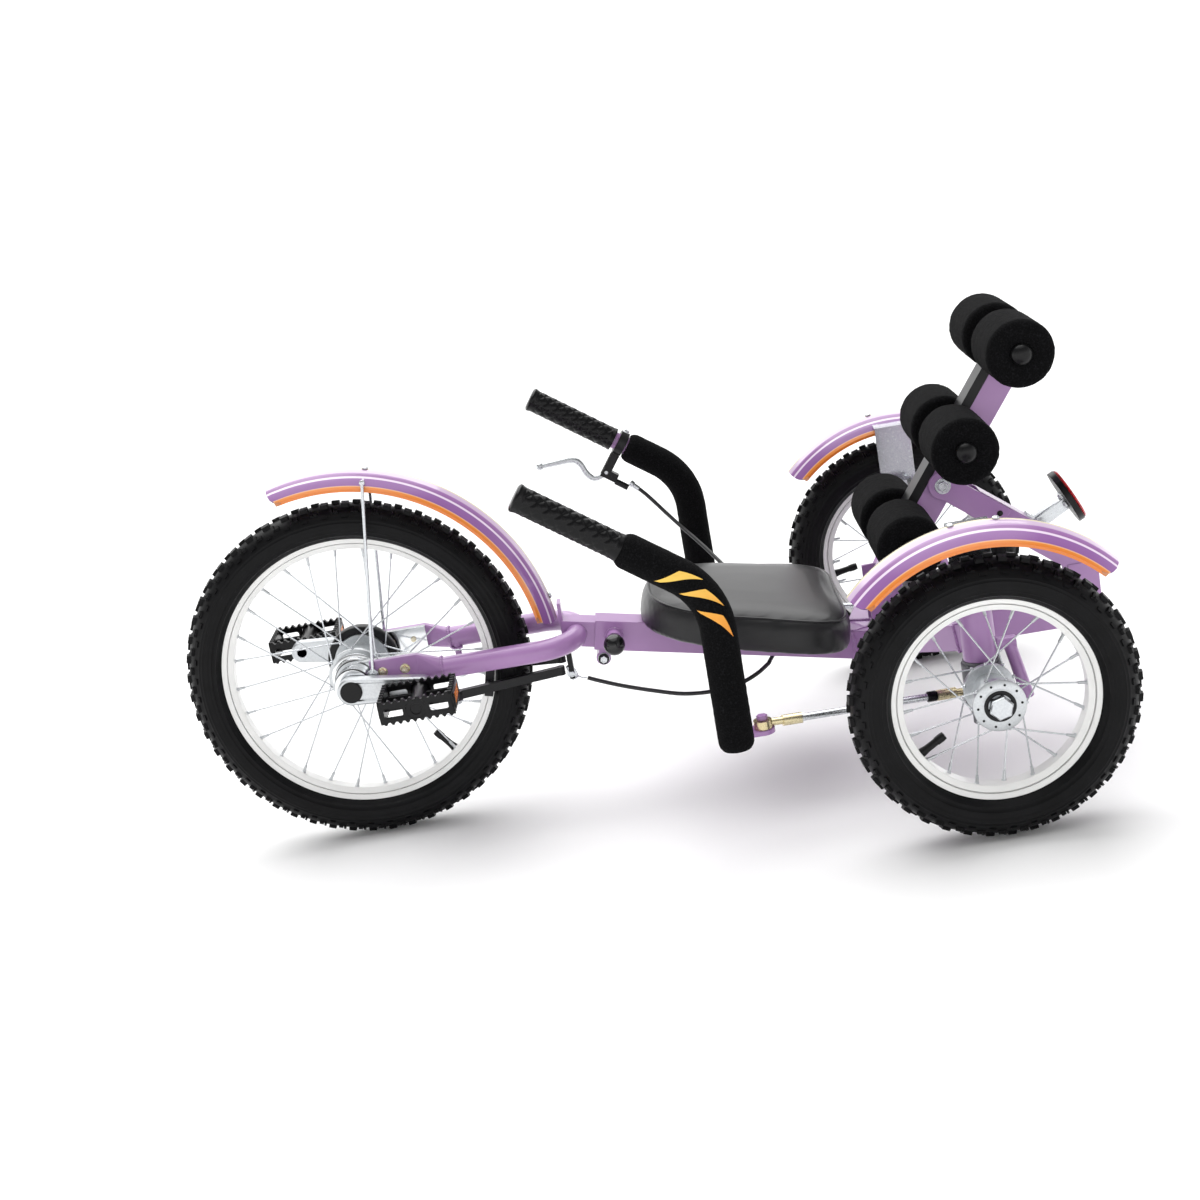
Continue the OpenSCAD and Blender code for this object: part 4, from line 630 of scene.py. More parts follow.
# Lock: a spring pin with a black ball knob holds the sliding fork tube at its length.
# The ball is moulded on the pin's neck.
# Phenolic resin: jet black, polished like glass.
black_ball = grained("polished_black_phenolic", "#0B0B0C", 0.14, 8 * mm, [(0.3, "#09090A"), (0.7, "#121214")],
                     gloss=(0.1, 0.2))
lock_spot, ball_r, ball_y = Vector((0.030, 0, 0.1969)), 12.5, 52
ball_turns = [math.radians(a) for a in range(-62, 91, 8)]
ball = [(5, 35.5), (7.5, 36.2), (8.5, 38.5)]
ball += [(ball_r * math.cos(a), ball_y + ball_r * math.sin(a)) for a in ball_turns]
piece("lock_ball", [turned(ball + [(0, ball_y + ball_r)], lock_spot, Y, 36)], black_ball, "lock",
      stands_for=("lock_knob",))
dress(zinc_plate, "lock_pin")

# Fork: two round stays are bent in from flat end plates to a crown tube, whose square tail
# slides in the spine. Gold plated bolts hold the axle bearings to the end plates.
fork_welds, gold_bolts = [], []
for side in (-1, 1):
    fork_welds.append(weld(ring_loop(Vector((0.2285, side * 0.060, 0.206)), Y, Z, 12.6 * mm), 1.8 * mm))
    fork_welds.append(weld(ring_loop(Vector((0.221, side * 0.052, 0.194)), X, Y, 5 * mm), 1.6 * mm))
    for back in (36 * mm, 62 * mm):
        seat = Vector((axle_f.x - back, side * 64.1 * mm, 0.214))
        gold_bolts += [hex_head(seat, Y * side, 7, 3.6, 1.0), pin(seat, Y * side, 3, -17, 0, 14)]
piece("fork_welds", fork_welds, lavender_coat, "front_frame")
piece("fork_bolts_hex", gold_bolts, gold_plate, "front_frame", stands_for=("fork_bolts",))

# Fenders: pressed steel with a rolled edge and three faint ribs, in lavender with an orange edge, a white pin
# stripe and a cream band, with painted highlight over the crown and along the orange edge. Wire stays and
# plated bolts hold them.
fender_rise, fender_t, rib_h = 18 * mm, 1.6 * mm, 0.7 * mm
front_edge_r, rear_edge_r = 221 * mm, 168 * mm
# Enamel: wet-look gloss; the bands lie across the fender, from its left edge to its right. The pale lilac
# and pale pink bands either side of the cream band are painted highlight, where the crown is lit from
# above, and the light orange line along the top of the orange edge is a painted highlight.
fender_enamel_and_highlight, shader = finish("striped_enamel_with_painted_highlight", "#A873B8", 0.2, Coat_Weight=0.6, Coat_Roughness=0.06)
across = node(fender_enamel_and_highlight, "ShaderNodeAttribute", attribute_name="across")
# Painted highlight: the stops from 0.04 to 0.30 and from 0.545 to 0.685, and the light orange stops at 0.95
# and 0.957.
node(fender_enamel_and_highlight, "ShaderNodeValToRGB", {"Fac": across.outputs["Fac"]},
     [("Color", shader.inputs["Base Color"])],
     [(0.0, "#A585B0"), (0.03, "#A585B0"), (0.04, "#CDBDD2"), (0.30, "#CDBDD2"), (0.34, "#D9CFA6"),
      (0.53, "#DBD1AA"), (0.545, "#CDB6D0"), (0.685, "#C5AAC9"), (0.70, "#9F72AC"), (0.775, "#97689F"),
      (0.78, "#E8D6EB"), (0.815, "#E8D6EB"), (0.82, "#9363A2"), (0.945, "#8F5F9D"), (0.95, "#EDB98A"),
      (0.957, "#EDAF78"), (0.963, "#E58A3C"), (1.0, "#DF7A22")])
peel = node(fender_enamel_and_highlight, "ShaderNodeTexNoise", {"Scale": 1 / (1.4 * mm), "Detail": 1.0})
node(fender_enamel_and_highlight, "ShaderNodeBump", {"Height": peel.outputs["Fac"], "Distance": 0.03 * mm, "Strength": 0.3},
     [("Normal", shader.inputs["Normal"])])


def ray(angle):
    """The way out from an axle at an angle in the wheel's plane."""
    return Vector((math.cos(angle), 0, math.sin(angle)))


def fender(name, axle, edge_r, half_w, start, end, body, stands_for):
    """A ribbed arch about an axle between two angles, with round corners and rolled edges."""
    def lift(u):
        ribs = sum(rib_h * math.exp(-((u - c) / 0.07) ** 2) for c in (-0.42, 0.0, 0.42))
        return fender_rise * (1 - u * u) + ribs

    widths = [-1 + 2 * k / 48 for k in range(49)]
    roll = [(edge_r + fender_t * 0.2, 1.0), (edge_r - 1.6 * mm, 0.985), (edge_r - 1.4 * mm, 0.93)]
    skin = [(edge_r + fender_t + lift(u), u) for u in widths] + roll
    skin += [(edge_r + lift(u) - 0.2 * mm, u) for u in reversed(widths[2:-2])]
    skin += [(r, -u) for r, u in reversed(roll)]
    steps, points = 96, []
    round_off = math.degrees(14 * mm / edge_r)
    for i in range(steps + 1):
        for r, u in skin:
            trim = round_off * (1 - math.sqrt(max(0.0, 1 - max(0.0, (abs(u) - 0.55) / 0.45) ** 2)))
            a = math.radians(start + trim + (end - start - 2 * trim) * i / steps)
            points.append(axle + Vector((r * math.cos(a), half_w * u, r * math.sin(a))))
    made = piece(name, [(points, sheath(len(skin), steps + 1))], fender_enamel_and_highlight, body,
                 stands_for=(stands_for,))
    band = made.data.attributes.new("across", "FLOAT", "POINT")
    band.data.foreach_set("value", [(u + 1) / 2 for r, u in skin] * (steps + 1))


def fender_bolt(axle, edge_r, angle):
    """A small domed bolt head on a fender's crown."""
    out = ray(math.radians(angle))
    return turned([(0, 0), (3.8, 0), (3.6, 1.2), (2.4, 2.2), (0, 2.5)],
                  axle + out * (edge_r + fender_rise + fender_t + 0.9 * mm), out, 20)


fender("fender_front_ribbed", axle_f, front_edge_r, 28 * mm, 75, 175, "front_frame", "front_fender")
fender_bolts = {"front_frame": [fender_bolt(axle_f, front_edge_r, angle) for angle in (103, 168)]}
for side, name in hands:
    axle = Vector((axle_r_x, side * track, axle_r_z))
    fender("fender_%s_ribbed" % name, axle, rear_edge_r, 31 * mm, 44, 138, name + "_upright",
           name + "_rear_fender")
    fender_bolts[name + "_upright"] = [fender_bolt(axle, rear_edge_r, angle) for angle in (83, 97)]
for body, bolts in fender_bolts.items():
    piece("fender_bolts_" + body, bolts, zinc_plate, body)
dress(zinc_plate, "fender_stays", "left_fender_bracket", "right_fender_bracket")
stay_eyes = []
eye_disc = [(0, -2), (5.4, -2), (6, -0.6), (6, 1.2), (5.2, 2.2), (0, 2.2)]
eye_pin = [(0, -13), (2.4, -13), (2.4, -1), (3.2, -1), (3.2, 1), (2, 1.8), (0, 2)]
for side in (-1, 1):
    low_eye, high_eye = Vector((0.308, side * 66.9 * mm, 0.214)), Vector((0.281, side * 30.3 * mm, 0.429))
    stay_eyes += [turned(eye_disc, low_eye, Y * side, 20),
                  hex_head(low_eye + Y * side * 2 * mm, Y * side, 8, 3, 0.8),
                  turned(eye_pin, high_eye, Y * side, 16)]
piece("fender_stay_eyes", stay_eyes, zinc_plate, "front_frame")

# Brake: cast black arms pivot on the fork stays and press rubber pads on the front rim.
# A plated barrel on the hanger clamps the bare wire that comes out of the cable's front end.
# Pad rubber: grey-black, matte, with a fine grit.
pad_rubber = grained("moulded_brake_rubber", "#202022", 0.8, 0.8 * mm, [(0.3, "#1A1A1C"), (0.7, "#2A2A2C")])
dress(pad_rubber, "left_brake_pad", "right_brake_pad")
for side, name in hands:
    pivot = Vector((0.221, side * 0.052, 0.163))
    piece("brake_pivot_" + name, [hex_head(pivot - Z * 0.2 * mm, -Z, 9, 4, 1.2)], zinc_plate, name + "_brake")
wire_d, wire_end, hanger_foot = 1.8 * mm, Vector((0.0705, 0, 0.1461)), Vector((0.087, 0, 0.156))
wire = flow([wire_end, wire_end + Vector((8 * mm, 0, 2.6 * mm)), hanger_foot], 9)
barrel = [(0, -8), (4.6, -8), (5.4, -6), (5.4, 2), (4.2, 4), (4.2, 9), (0, 9)]
piece("cable_anchor", [
    tube(wire, wire_d / 2, 8, hint=Y), turned(barrel, hanger_foot, Vector((0.3, 0, 1)), 20),
    hex_head(hanger_foot + Y * 4 * mm, Y, 7, 4, 1)], zinc_plate, "front_frame")

# Tyres: moulded black rubber with crown knobs, shoulder lugs, side dashes and faintly ringed
# sidewalls, fitted to white painted rims.
# Tyre rubber: near black, with a low sheen and a bloom of mould dust in clouds of about 22 mm.
tyre_rubber = grained("moulded_tyre_rubber", "#09090A", 0.42, 1 / 45, [(0.3, "#060607"), (0.7, "#0D0D0F")],
                      detail=5.0, relief=(0.08 * mm, 0.4, 1.0 * mm, 2.0), Specular_IOR_Level=0.14)
knob_h, knob_sink, knob_in, knob_w, knob_slant, knob_drop, knob_l = (
    v * mm for v in (3.4, 1.2, 1.2, 10.4, 0.8, 1.4, 9.6))
lug_turn, lug_w, lug_rise, lug_bar = math.radians(50), 8.8 * mm, 2.7 * mm, 3.4 * mm
dash_turn, dash_w, dash_l, dash_rise = math.radians(31), 3.6 * mm, 8.0 * mm, 1.2 * mm
casing_t, knob_bevel = 4 * mm, 0.5 * mm
# Each ring on a sidewall: its turn about the casing's middle and its height in millimetres.
wall_rings = ((-0.54, 1.2), (-0.34, 0.8), (-0.08, 0.5), (0.16, 0.9), (0.32, 0.7))
block_faces = [(0, 1, 2, 3), (7, 6, 5, 4), (0, 4, 5, 1), (1, 5, 6, 2), (2, 6, 7, 3), (3, 7, 4, 0)]


def knob(axle, low, top, start, end, bevel):
    """A tread knob between two angles: low and top are pairs of (radius, across), top drawn in by a bevel."""
    points = []
    for (inner, outer), inset in ((low, 0.0), (top, bevel)):
        first, last = start + inset, end - inset
        for (r, y), a in ((inner, first), (inner, last), (outer, last), (outer, first)):
            points.append(axle + Vector((r * math.cos(a), y, r * math.sin(a))))
    return points, block_faces


def tyre(name, axle, radius, width, rim_r, pitches, body, stands_for):
    """A casing turned about the axle, with crown knobs, shoulder lugs and side dashes by turns."""
    casing_r, bead_r = radius - knob_h, rim_r + 0.1 * mm
    belly = bead_r + 0.45 * (casing_r - bead_r)
    tall, wide = casing_r - belly, width / 2 - 0.4 * mm
    low = math.asin((belly - bead_r) / tall)
    profile = []
    for k in range(65):
        t = -low + (math.pi + 2 * low) * k / 64
        ridge = sum(height * mm * math.exp(-((min(t, math.pi - t) - spot) / 0.045) ** 2)
                    for spot, height in wall_rings)
        profile.append((belly + (tall + ridge) * math.sin(t), (wide + ridge) * math.cos(t)))
    inner = [(belly + (tall - casing_t) * math.sin(t), (wide - casing_t) * math.cos(t))
             for t in (math.pi + low - (math.pi + 2 * low) * k / 16 for k in range(17))]
    parts = [turned(profile + inner + profile[:1], axle, Y, 144, 1.0)]

    def pad(turn, half, rise):
        """The foot and the top, as (radius, outwards) pairs, of a block that stands on the casing."""
        along = Vector((tall * math.cos(turn), -wide * math.sin(turn))).normalized()
        out = Vector((-along.y, along.x))
        spot = Vector((belly + tall * math.sin(turn), wide * math.cos(turn)))
        return ([spot - out * knob_sink - along * half, spot - out * knob_sink + along * half],
                [spot + out * rise - along * half * 0.82, spot + out * rise + along * half * 0.82])

    edge_y = knob_in + knob_w
    edge_r = belly + tall * math.sqrt(1 - (edge_y / wide) ** 2)
    crown = ([(casing_r - knob_sink, knob_in), (edge_r - knob_sink, edge_y)],
             [(radius, knob_in + knob_slant), (radius - knob_drop, edge_y - knob_slant)])
    lug, dash = pad(lug_turn, lug_w / 2, lug_rise), pad(dash_turn, dash_w / 2, dash_rise)
    lug_out = [[ends[0], (ends[0] + ends[1]) / 2] for ends in lug]
    reach = knob_l / 2
    for k in range(2 * pitches):
        side, middle = (1 if k % 2 == 0 else -1), math.pi * k / pitches
        for shape, sign, start, end in ((crown, side, -reach, reach),
                                        (lug, -side, -reach, lug_bar - reach),
                                        (lug_out, -side, lug_bar - reach, reach),
                                        (dash, side, -dash_l / 2, dash_l / 2)):
            foot, top = ([(r, sign * y) for r, y in pair] for pair in shape)
            parts.append(knob(axle, foot, top, middle + start / radius, middle + end / radius,
                              knob_bevel / radius))
    piece(name, parts, tyre_rubber, body, stands_for=(stands_for,))


# Rims, spokes, nipples and valves: white painted steel rims laced with plated spokes to
# the hubs. Each spoke ends in a nipple in the rim, and a rubber valve stands by one spoke.
# Rim paint: clean white gloss with a soft edge.
white_enamel = grained("baked_white_enamel", "#F0F0EE", 0.3, 40 * mm, [(0.3, "#ECECEA"), (0.7, "#F4F4F2")],
                       relief=(0.05 * mm, 0.2), edge=1.2 * mm, Coat_Weight=0.3)
# Cast hub shell: dull silver alloy with a fine sand-cast grain.
hub_alloy = grained("cast_alloy", "#C6C9CC", 0.34, 1.8 * mm, [(0.3, "#BFC2C5"), (0.7, "#CED1D3")],
                    detail=3.0, relief=(0.015 * mm, 0.3), edge=1.0 * mm, Metallic=1.0)
rim_depth, spoke_d, lace, hub_half = 13 * mm, 1.8 * mm, 38, 32 * mm
nipple = [(0, -10), (1.5, -10), (1.7, -8), (1.8, -1), (2.6, -0.4), (2.6, 1), (0, 1)]
spoke_head = [(0, -1.6), (2.2, -1.2), (2.2, 1.0), (0, 1.4)]
valve = [(0, -2), (5.2, -2), (5, 2), (4.2, 8), (4, 20), (4.6, 20.6), (4.8, 27), (4.2, 31), (0, 31.6)]
hub_rim = [(15, -3.2), (27, -3.2), (27.6, -1.8), (26.4, -0.8), (17.4, 0), (15, 0)]
hub_hole = [(0, -1.5), (1.5, -1.5), (1.3, 0.5), (0, 0.55)]
hub_lip = [(12.2, -2), (16.6, -2), (16.6, 0.6), (15.8, 1.2), (13.2, 1.2), (12.2, 0.6)]
stub_nut = [(0, 0), (12.9, 0), (12.9, 7.6), (11.4, 9.2), (0, 9.4)]
# A wheel's tyre radius and width, rim radius and width, flange width and place, in millimetres,
# then its numbers of spokes and of tread pitches.
front_sizes, rear_sizes = (204, 50, 161, 28, 66, 28, 28, 52), (152, 54, 108, 30, 54, 25, 20, 40)
for name, node_name, axle, wheel_sizes, valve_at in (
        ("front", "front", axle_f, front_sizes, 232),
        ("left", "left_rear", Vector((axle_r_x, track, axle_r_z)), rear_sizes, 329),
        ("right", "right_rear", Vector((axle_r_x, -track, axle_r_z)), rear_sizes, 350)):
    tyre_r, tyre_w, rim_r, rim_w, flange_d, flange_y = (size * mm for size in wheel_sizes[:6])
    spoke_n, pitches = wheel_sizes[6:]
    body = name + "_wheel"
    tyre("tyre_knobbed_" + name, axle, tyre_r, tyre_w, rim_r, pitches, body, node_name + "_tyre")
    dress(white_enamel, node_name + "_rim")
    dress(zinc_plate, node_name + "_spokes")
    dress(hub_alloy, node_name + "_hub")
    nipples, heads = [], []
    for i in range(spoke_n):
        side, pair = (1 if i % 2 == 0 else -1), (1 if i // 2 % 2 == 0 else -1)
        out = math.radians(360 * i / spoke_n)
        inn = out + math.radians(lace * pair)
        hub_spot = axle + ray(inn) * (flange_d + spoke_d) / 2 + Y * side * (flange_y + pair * spoke_d * 1.3)
        rim_spot = axle + ray(out) * (rim_r - rim_depth - 0.3 * mm) + Y * side * rim_w / 8
        along = (rim_spot - hub_spot).normalized()
        nipples.append(turned(nipple, rim_spot, along, 10))
        heads.append(turned(spoke_head, hub_spot - along * 0.5 * mm, along, 10))
    piece("spoke_nipples_" + name, nipples, hub_alloy, body)
    piece("spoke_heads_" + name, heads, zinc_plate, body)
    outwards = ray(math.radians(valve_at))
    piece("valve_" + name, [turned(valve, axle + outwards * (rim_r - rim_depth + 1 * mm), -outwards, 18)],
          black_poly, body)
    if name != "front":
        outward = Y * (1 if axle.y > 0 else -1)
        face = axle + outward * hub_half
        piece("hub_face_" + name, [turned(hub_rim, face - outward * 0.4 * mm, outward, 48)], hub_alloy, body)
        # Ten black discs just under the face stand for its holes: their black is painted shade, the dark
        # inside each hole.
        hole_seat = face - outward * 0.9 * mm
        piece("hub_hole_shade_" + name,
              [turned(hub_hole, hole_seat + ray(2 * math.pi * k / 10) * 22.5 * mm, outward, 12)
               for k in range(10)], black_poly, body)
        piece("hub_seal_" + name, [turned(hub_lip, face - outward * 0.2 * mm, outward, 40)], satin_black,
              body)
        piece("stub_nut_" + name, [turned(stub_nut, face + outward * 0.4 * mm, outward, 6)], zinc_plate,
              name + "_upright")

# Cranks and pedals: forged cranks are pressed on the front axle, and turn it with the wheel.
# Moulded pedals with teeth and amber reflectors turn on their spindles.
dress(zinc_plate, "crank_axle")
# Amber acrylic: clear orange prisms with a polished face.
amber_acrylic = grained("moulded_amber_acrylic", "#E07A12", 0.14, 2.2 * mm,
                        [(0.1, "#F39A2C"), (0.5, "#D9700F"), (0.9, "#A34E07")], cells=True,
                        IOR=1.49, Coat_Weight=0.5)
crank_len, crank_drop = 80 * mm, math.radians(6)
crank_in, crank_t, eye_r, tip_r = 77 * mm, 14 * mm, 16 * mm, 13 * mm
# Each layer through a crank: its depth from the inner face and how far it is drawn in, in millimetres.
crank_layers = ((0.0, 1.6), (1.6, 0.0), (12.4, 0.0), (14.0, 1.6), (14.0, 4.6), (12.2, 6.0))
crank_cap = [(0, -1.5), (12.6, -1.5), (12.6, 0.8), (12, 1.6), (4, 2.2), (0, 2.2)]
pedal_in, pedal_out, pedal_len, pedal_h, plate_t, tooth_h = (v * mm for v in (95, 163, 84, 24, 5, 3))
pedal_w, pedal_mid = pedal_out - pedal_in, (pedal_in + pedal_out) / 2
barrel_l = pedal_w / mm
barrel = [(0, 0.4)]
barrel += [(8.6 + 3.0 * abs(2 * k / 16 - 1) ** 3, 0.4 + (barrel_l - 0.8) * k / 16) for k in range(17)]
barrel += [(6.5, barrel_l - 0.4), (6, barrel_l - 1.6), (0, barrel_l - 1.8)]


def block(centre, along, over, out, half_l, half_w, height, sink):
    """A tapered block on a seat, sunk a little into it."""
    return [centre + along * i * half_l * grow + over * j * half_w * grow + out * lift
            for lift, grow in ((-sink, 1.0), (height, 0.82))
            for i, j in ((-1, -1), (1, -1), (1, 1), (-1, 1))], block_faces


def window(left, right, low, high, corner=3):
    """The outline of a hole with round corners, in millimetres, as (across, up) pairs in metres."""
    return [(((left + right) / 2 + u) * mm, ((low + high) / 2 + v) * mm)
            for u, v in rounded((right - left) / 2, (high - low) / 2, corner)]


def toothed(half_l, count):
    """The outline of a pedal's bar with a row of teeth above and below."""
    pitch, half_h = 2 * half_l / count, pedal_h / 2 - 1 * mm
    tooth = ((0.0, 0.0), (0.26, tooth_h), (0.5, tooth_h), (0.76, 0.0))
    top = [(half_l - (k + share) * pitch, half_h + rise) for k in range(count) for share, rise in tooth]
    return top + [(-u, -v) for u, v in top]


def pierced(loops, centre, right, up, depth):
    """A plate with a depth: its outer loop, then its holes, as (across, up) pairs."""
    flat = [p for loop in loops for p in loop]
    points = [centre + right * u + up * v + depth * k for k in (0, 1) for u, v in flat]
    n, faces, first = len(flat), [], 0
    for corners in tessellate_polygon([[Vector((u, v, 0)) for u, v in loop] for loop in loops]):
        faces += [tuple(corners), tuple(n + i for i in corners)]
    for loop in loops:
        for k in range(len(loop)):
            a, b = first + k, first + (k + 1) % len(loop)
            faces.append((a, b, b + n, a + n))
        first += len(loop)
    return points, faces


def crank_arm(eye, tip, side):
    """A forged crank: two eyes joined by a tapered arm with round edges and a grooved face."""
    along = (tip - eye).normalized()
    over = along.cross(Y)
    rims = [(end, r * (math.cos(a) * along + math.sin(a) * over))
            for end, r, first in ((eye, eye_r, math.pi / 2), (tip, tip_r, -math.pi / 2))
            for a in (first + math.pi * k / 20 for k in range(21))]
    points = [end + near * (1 - inset * mm / near.length) + Y * side * depth * mm
              for depth, inset in crank_layers for end, near in rims]
    return points, sheath(len(rims), len(crank_layers))


caps = []
for side, name in hands:
    out = Y * side
    pedal_axle = axle_f - ray(crank_drop) * side * crank_len
    eye, tip = axle_f + out * crank_in, pedal_axle + out * crank_in
    piece("crank_forged_" + name,
          [crank_arm(eye, tip, side), pin(tip, out, 6, 0, 75.9, 20),
           pin(tip + out * crank_t, out, 9, 0, 3, 6)],
          hub_alloy, "crank", stands_for=(name + "_crank",))
    caps.append(turned(crank_cap, eye + out * crank_t, out, 36))
    cage, lenses = [], []
    for y in (pedal_in, pedal_out - plate_t):
        cage.append(pierced(
            [toothed(pedal_len / 2 - 1 * mm, 10), window(-36, -15, -6, 5), window(15, 36, -6, 5),
             window(-11.4, 11.4, -10, 10.5, 9)], pedal_axle + out * y, X, Z, out * plate_t))
    for end in (-1, 1):
        inside = pedal_axle + X * end * (pedal_len / 2 - plate_t) + out * pedal_mid
        cage.append(pierced([toothed(pedal_w / 2, 8)], inside, Y, Z, X * end * plate_t))
    cage.append(turned(barrel, pedal_axle + out * pedal_in, out, 28))
    for way in (-1, 1):
        for shift in (-0.22, 0.22):
            rib = pedal_axle + out * (pedal_mid + shift * pedal_w) + X * way * pedal_len / 4
            cage.append(block(rib, X, Y, Z, pedal_len / 4, 3 * mm, 3 * mm, 3 * mm))
    for end in (-1, 1):
        seat = pedal_axle + X * end * pedal_len / 2 + out * pedal_mid
        lenses.append(prisms(seat, Y * end, Z, lambda x, y: abs(x) < 21 * mm and abs(y) < 6.5 * mm,
                             3.4 * mm, 0.9 * mm, 0.5 * mm))
        for off, half_l, half_w in ((Z * -8.8, 25, 1.4), (Z * 8.8, 25, 1.4),
                                    (Y * -24, 1.4, 9), (Y * 24, 1.4, 9)):
            cage.append(block(seat + off * mm, Y, Z, X * end, half_l * mm, half_w * mm, 1.6 * mm, 0.5 * mm))
    piece("pedal_cage_" + name, cage, black_poly, name + "_pedal",
          stands_for=(name + "_pedal",))
    piece("pedal_reflectors_" + name, lenses, amber_acrylic, name + "_pedal", smooth=False)
piece("crank_end_caps", caps, black_poly, "crank", stands_for=("crank_caps",))

# Front hub: the shell carries a black drum on the right, with a bolted bright cover. A stepped
# chrome collar stands on the left flange, and black lip seals close the hub and both bearings.
drum_face = axle_f - Y * 44.1 * mm
drum = [(24, 0), (41.5, 0), (42.2, -2), (42.2, -10), (41, -12.2), (24, -12.2)]
piece("hub_drum", [turned(drum, drum_face, -Y, 56)], satin_black, "front_wheel")
cover = [(12, 0), (30, 0), (30.6, 0.8), (29, 1.4), (12, 1.6)]
screw_seat = drum_face - Y * 0.8 * mm
piece("hub_cover", [turned(cover, drum_face, -Y, 48)]
      + [hex_head(screw_seat + ray(2 * math.pi * k / 6) * 24 * mm, -Y, 5, 1.0, 0.3) for k in range(6)],
      zinc_plate, "front_wheel")
# Chrome: a mirror with a faint drift of polish, which shows the room as bright and dark bands.
chrome = grained("polished_chrome", "#E4E6E8", 0.1, 9.0 * mm, gloss=(0.06, 0.16), relief=(0.02 * mm, 0.2),
                 edge=0.8 * mm, Metallic=1.0)
dress(chrome, "axle_bearings")
collar = [(23.05, 31.1), (28.5, 31.1), (29, 31.8), (29, 34.6), (28, 35.6), (25.6, 36), (25, 36.8), (25, 41.6),
          (24.2, 42.4), (23.05, 42.6)]
seal_lip = [(23.05, 43), (23.8, 43.2), (24, 44.6), (23.6, 46), (23.05, 46.2)]
bearing_lip = [(21.05, 68.2), (21.5, 68.4), (21.7, 70), (21.5, 71.8), (21.05, 72)]
piece("hub_collar", [turned(collar, axle_f, Y, 56)], chrome, "front_wheel")
piece("hub_seal", [turned(seal_lip, axle_f, Y, 48)], black_poly, "front_wheel")
piece("bearing_seals", [turned(bearing_lip, axle_f, Y * side, 48) for side in (1, -1)], black_poly,
      "front_frame")

# Handles: one steel bar swings on a pivot under the spine, and its bent ends carry foam
# sleeves and ribbed rubber grips.
handle_y, bar_x, bend_z, bend_r, bend_turn = 280 * mm, -87 * mm, 265 * mm, 80 * mm, math.radians(53.8)
handle_dir = Vector((math.sin(bend_turn), 0, math.cos(bend_turn)))
handle_down = Vector((math.cos(bend_turn), 0, -math.sin(bend_turn)))


def bend_at(side, turn=bend_turn):
    """A point on the handle's bend after a turn; after the whole of it the straight handle begins."""
    return Vector((bar_x + bend_r * (1 - math.cos(turn)), side * handle_y, bend_z + bend_r * math.sin(turn)))


def handle_line(side, start_z, past, gap=3 * mm):
    """The handle's centre line from a height up round the bend and some way past it."""
    rise = bend_z - start_z
    ups, turns, steps = max(2, int(rise / gap)), int(bend_r * bend_turn / gap), max(2, int(past / gap))
    return ([Vector((bar_x, side * handle_y, start_z + rise * k / ups)) for k in range(ups)]
            + [bend_at(side, bend_turn * k / turns) for k in range(turns)]
            + [bend_at(side) + handle_dir * past * k / steps for k in range(steps + 1)])


# Grip rubber: black with a soft shine on the crests of its diamonds.
grip_rubber = grained("moulded_grip_rubber", "#09090A", 0.24, 2.0 * mm, [(0.3, "#060607"), (0.7, "#0C0C0E")],
                      detail=3.0, Specular_IOR_Level=0.22)
# Screen ink: three warm slanted bars, yellow at one end and orange at the other.
bar_ink, shader = finish("screen_printed_ink", "#F2A02C", 0.6)
place = node(bar_ink, "ShaderNodeTexCoord")
height = node(bar_ink, "ShaderNodeSeparateXYZ", {"Vector": place.outputs["Object"]})
fade = node(bar_ink, "ShaderNodeMapRange", {"Value": height.outputs["Z"], "From Min": 0.24, "From Max": 0.33})
node(bar_ink, "ShaderNodeValToRGB", {"Fac": fade.outputs["Result"]},
     [("Color", shader.inputs["Base Color"])], [(0.0, "#E8822A"), (0.5, "#F2A63A"), (1.0, "#F5C95A")])
sleeve_r, sleeve_low, sleeve_sides, print_lift = 19 * mm, 134 * mm, 48, 0.45 * mm
sleeve_end = [15.5 * mm, 17.6 * mm, 18.7 * mm]
bar_rows, bar_columns, bar_first, bar_gap = 15, 7, 45, 10
grip_from, grip_len, grip_r, grip_rows, grip_sides = 65 * mm, 120 * mm, 13.2 * mm, 121, 72
diamond, diamond_h, cuff_h = 4.4 * mm, 1.5 * mm, 1.0 * mm


def grip_radius(s, a):
    """A grip's radius some way along it and round it: diamonds between plain cuffs, and a rounded end."""
    flare = 1.2 * mm * math.exp(-((s - grip_len + 3 * mm) / (3.5 * mm)) ** 2)
    flare += 0.8 * mm * math.exp(-(s / (4 * mm)) ** 2)
    weave = min(abs(math.sin(3 * a + s / diamond)), abs(math.sin(3 * a - s / diamond))) ** 0.5
    end_round = 3 * mm * max(0.0, (s - grip_len + 2.4 * mm) / (2.4 * mm)) ** 2
    return grip_r + flare + (diamond_h * weave if 6 * mm < s < grip_len - 9 * mm else cuff_h) - end_round


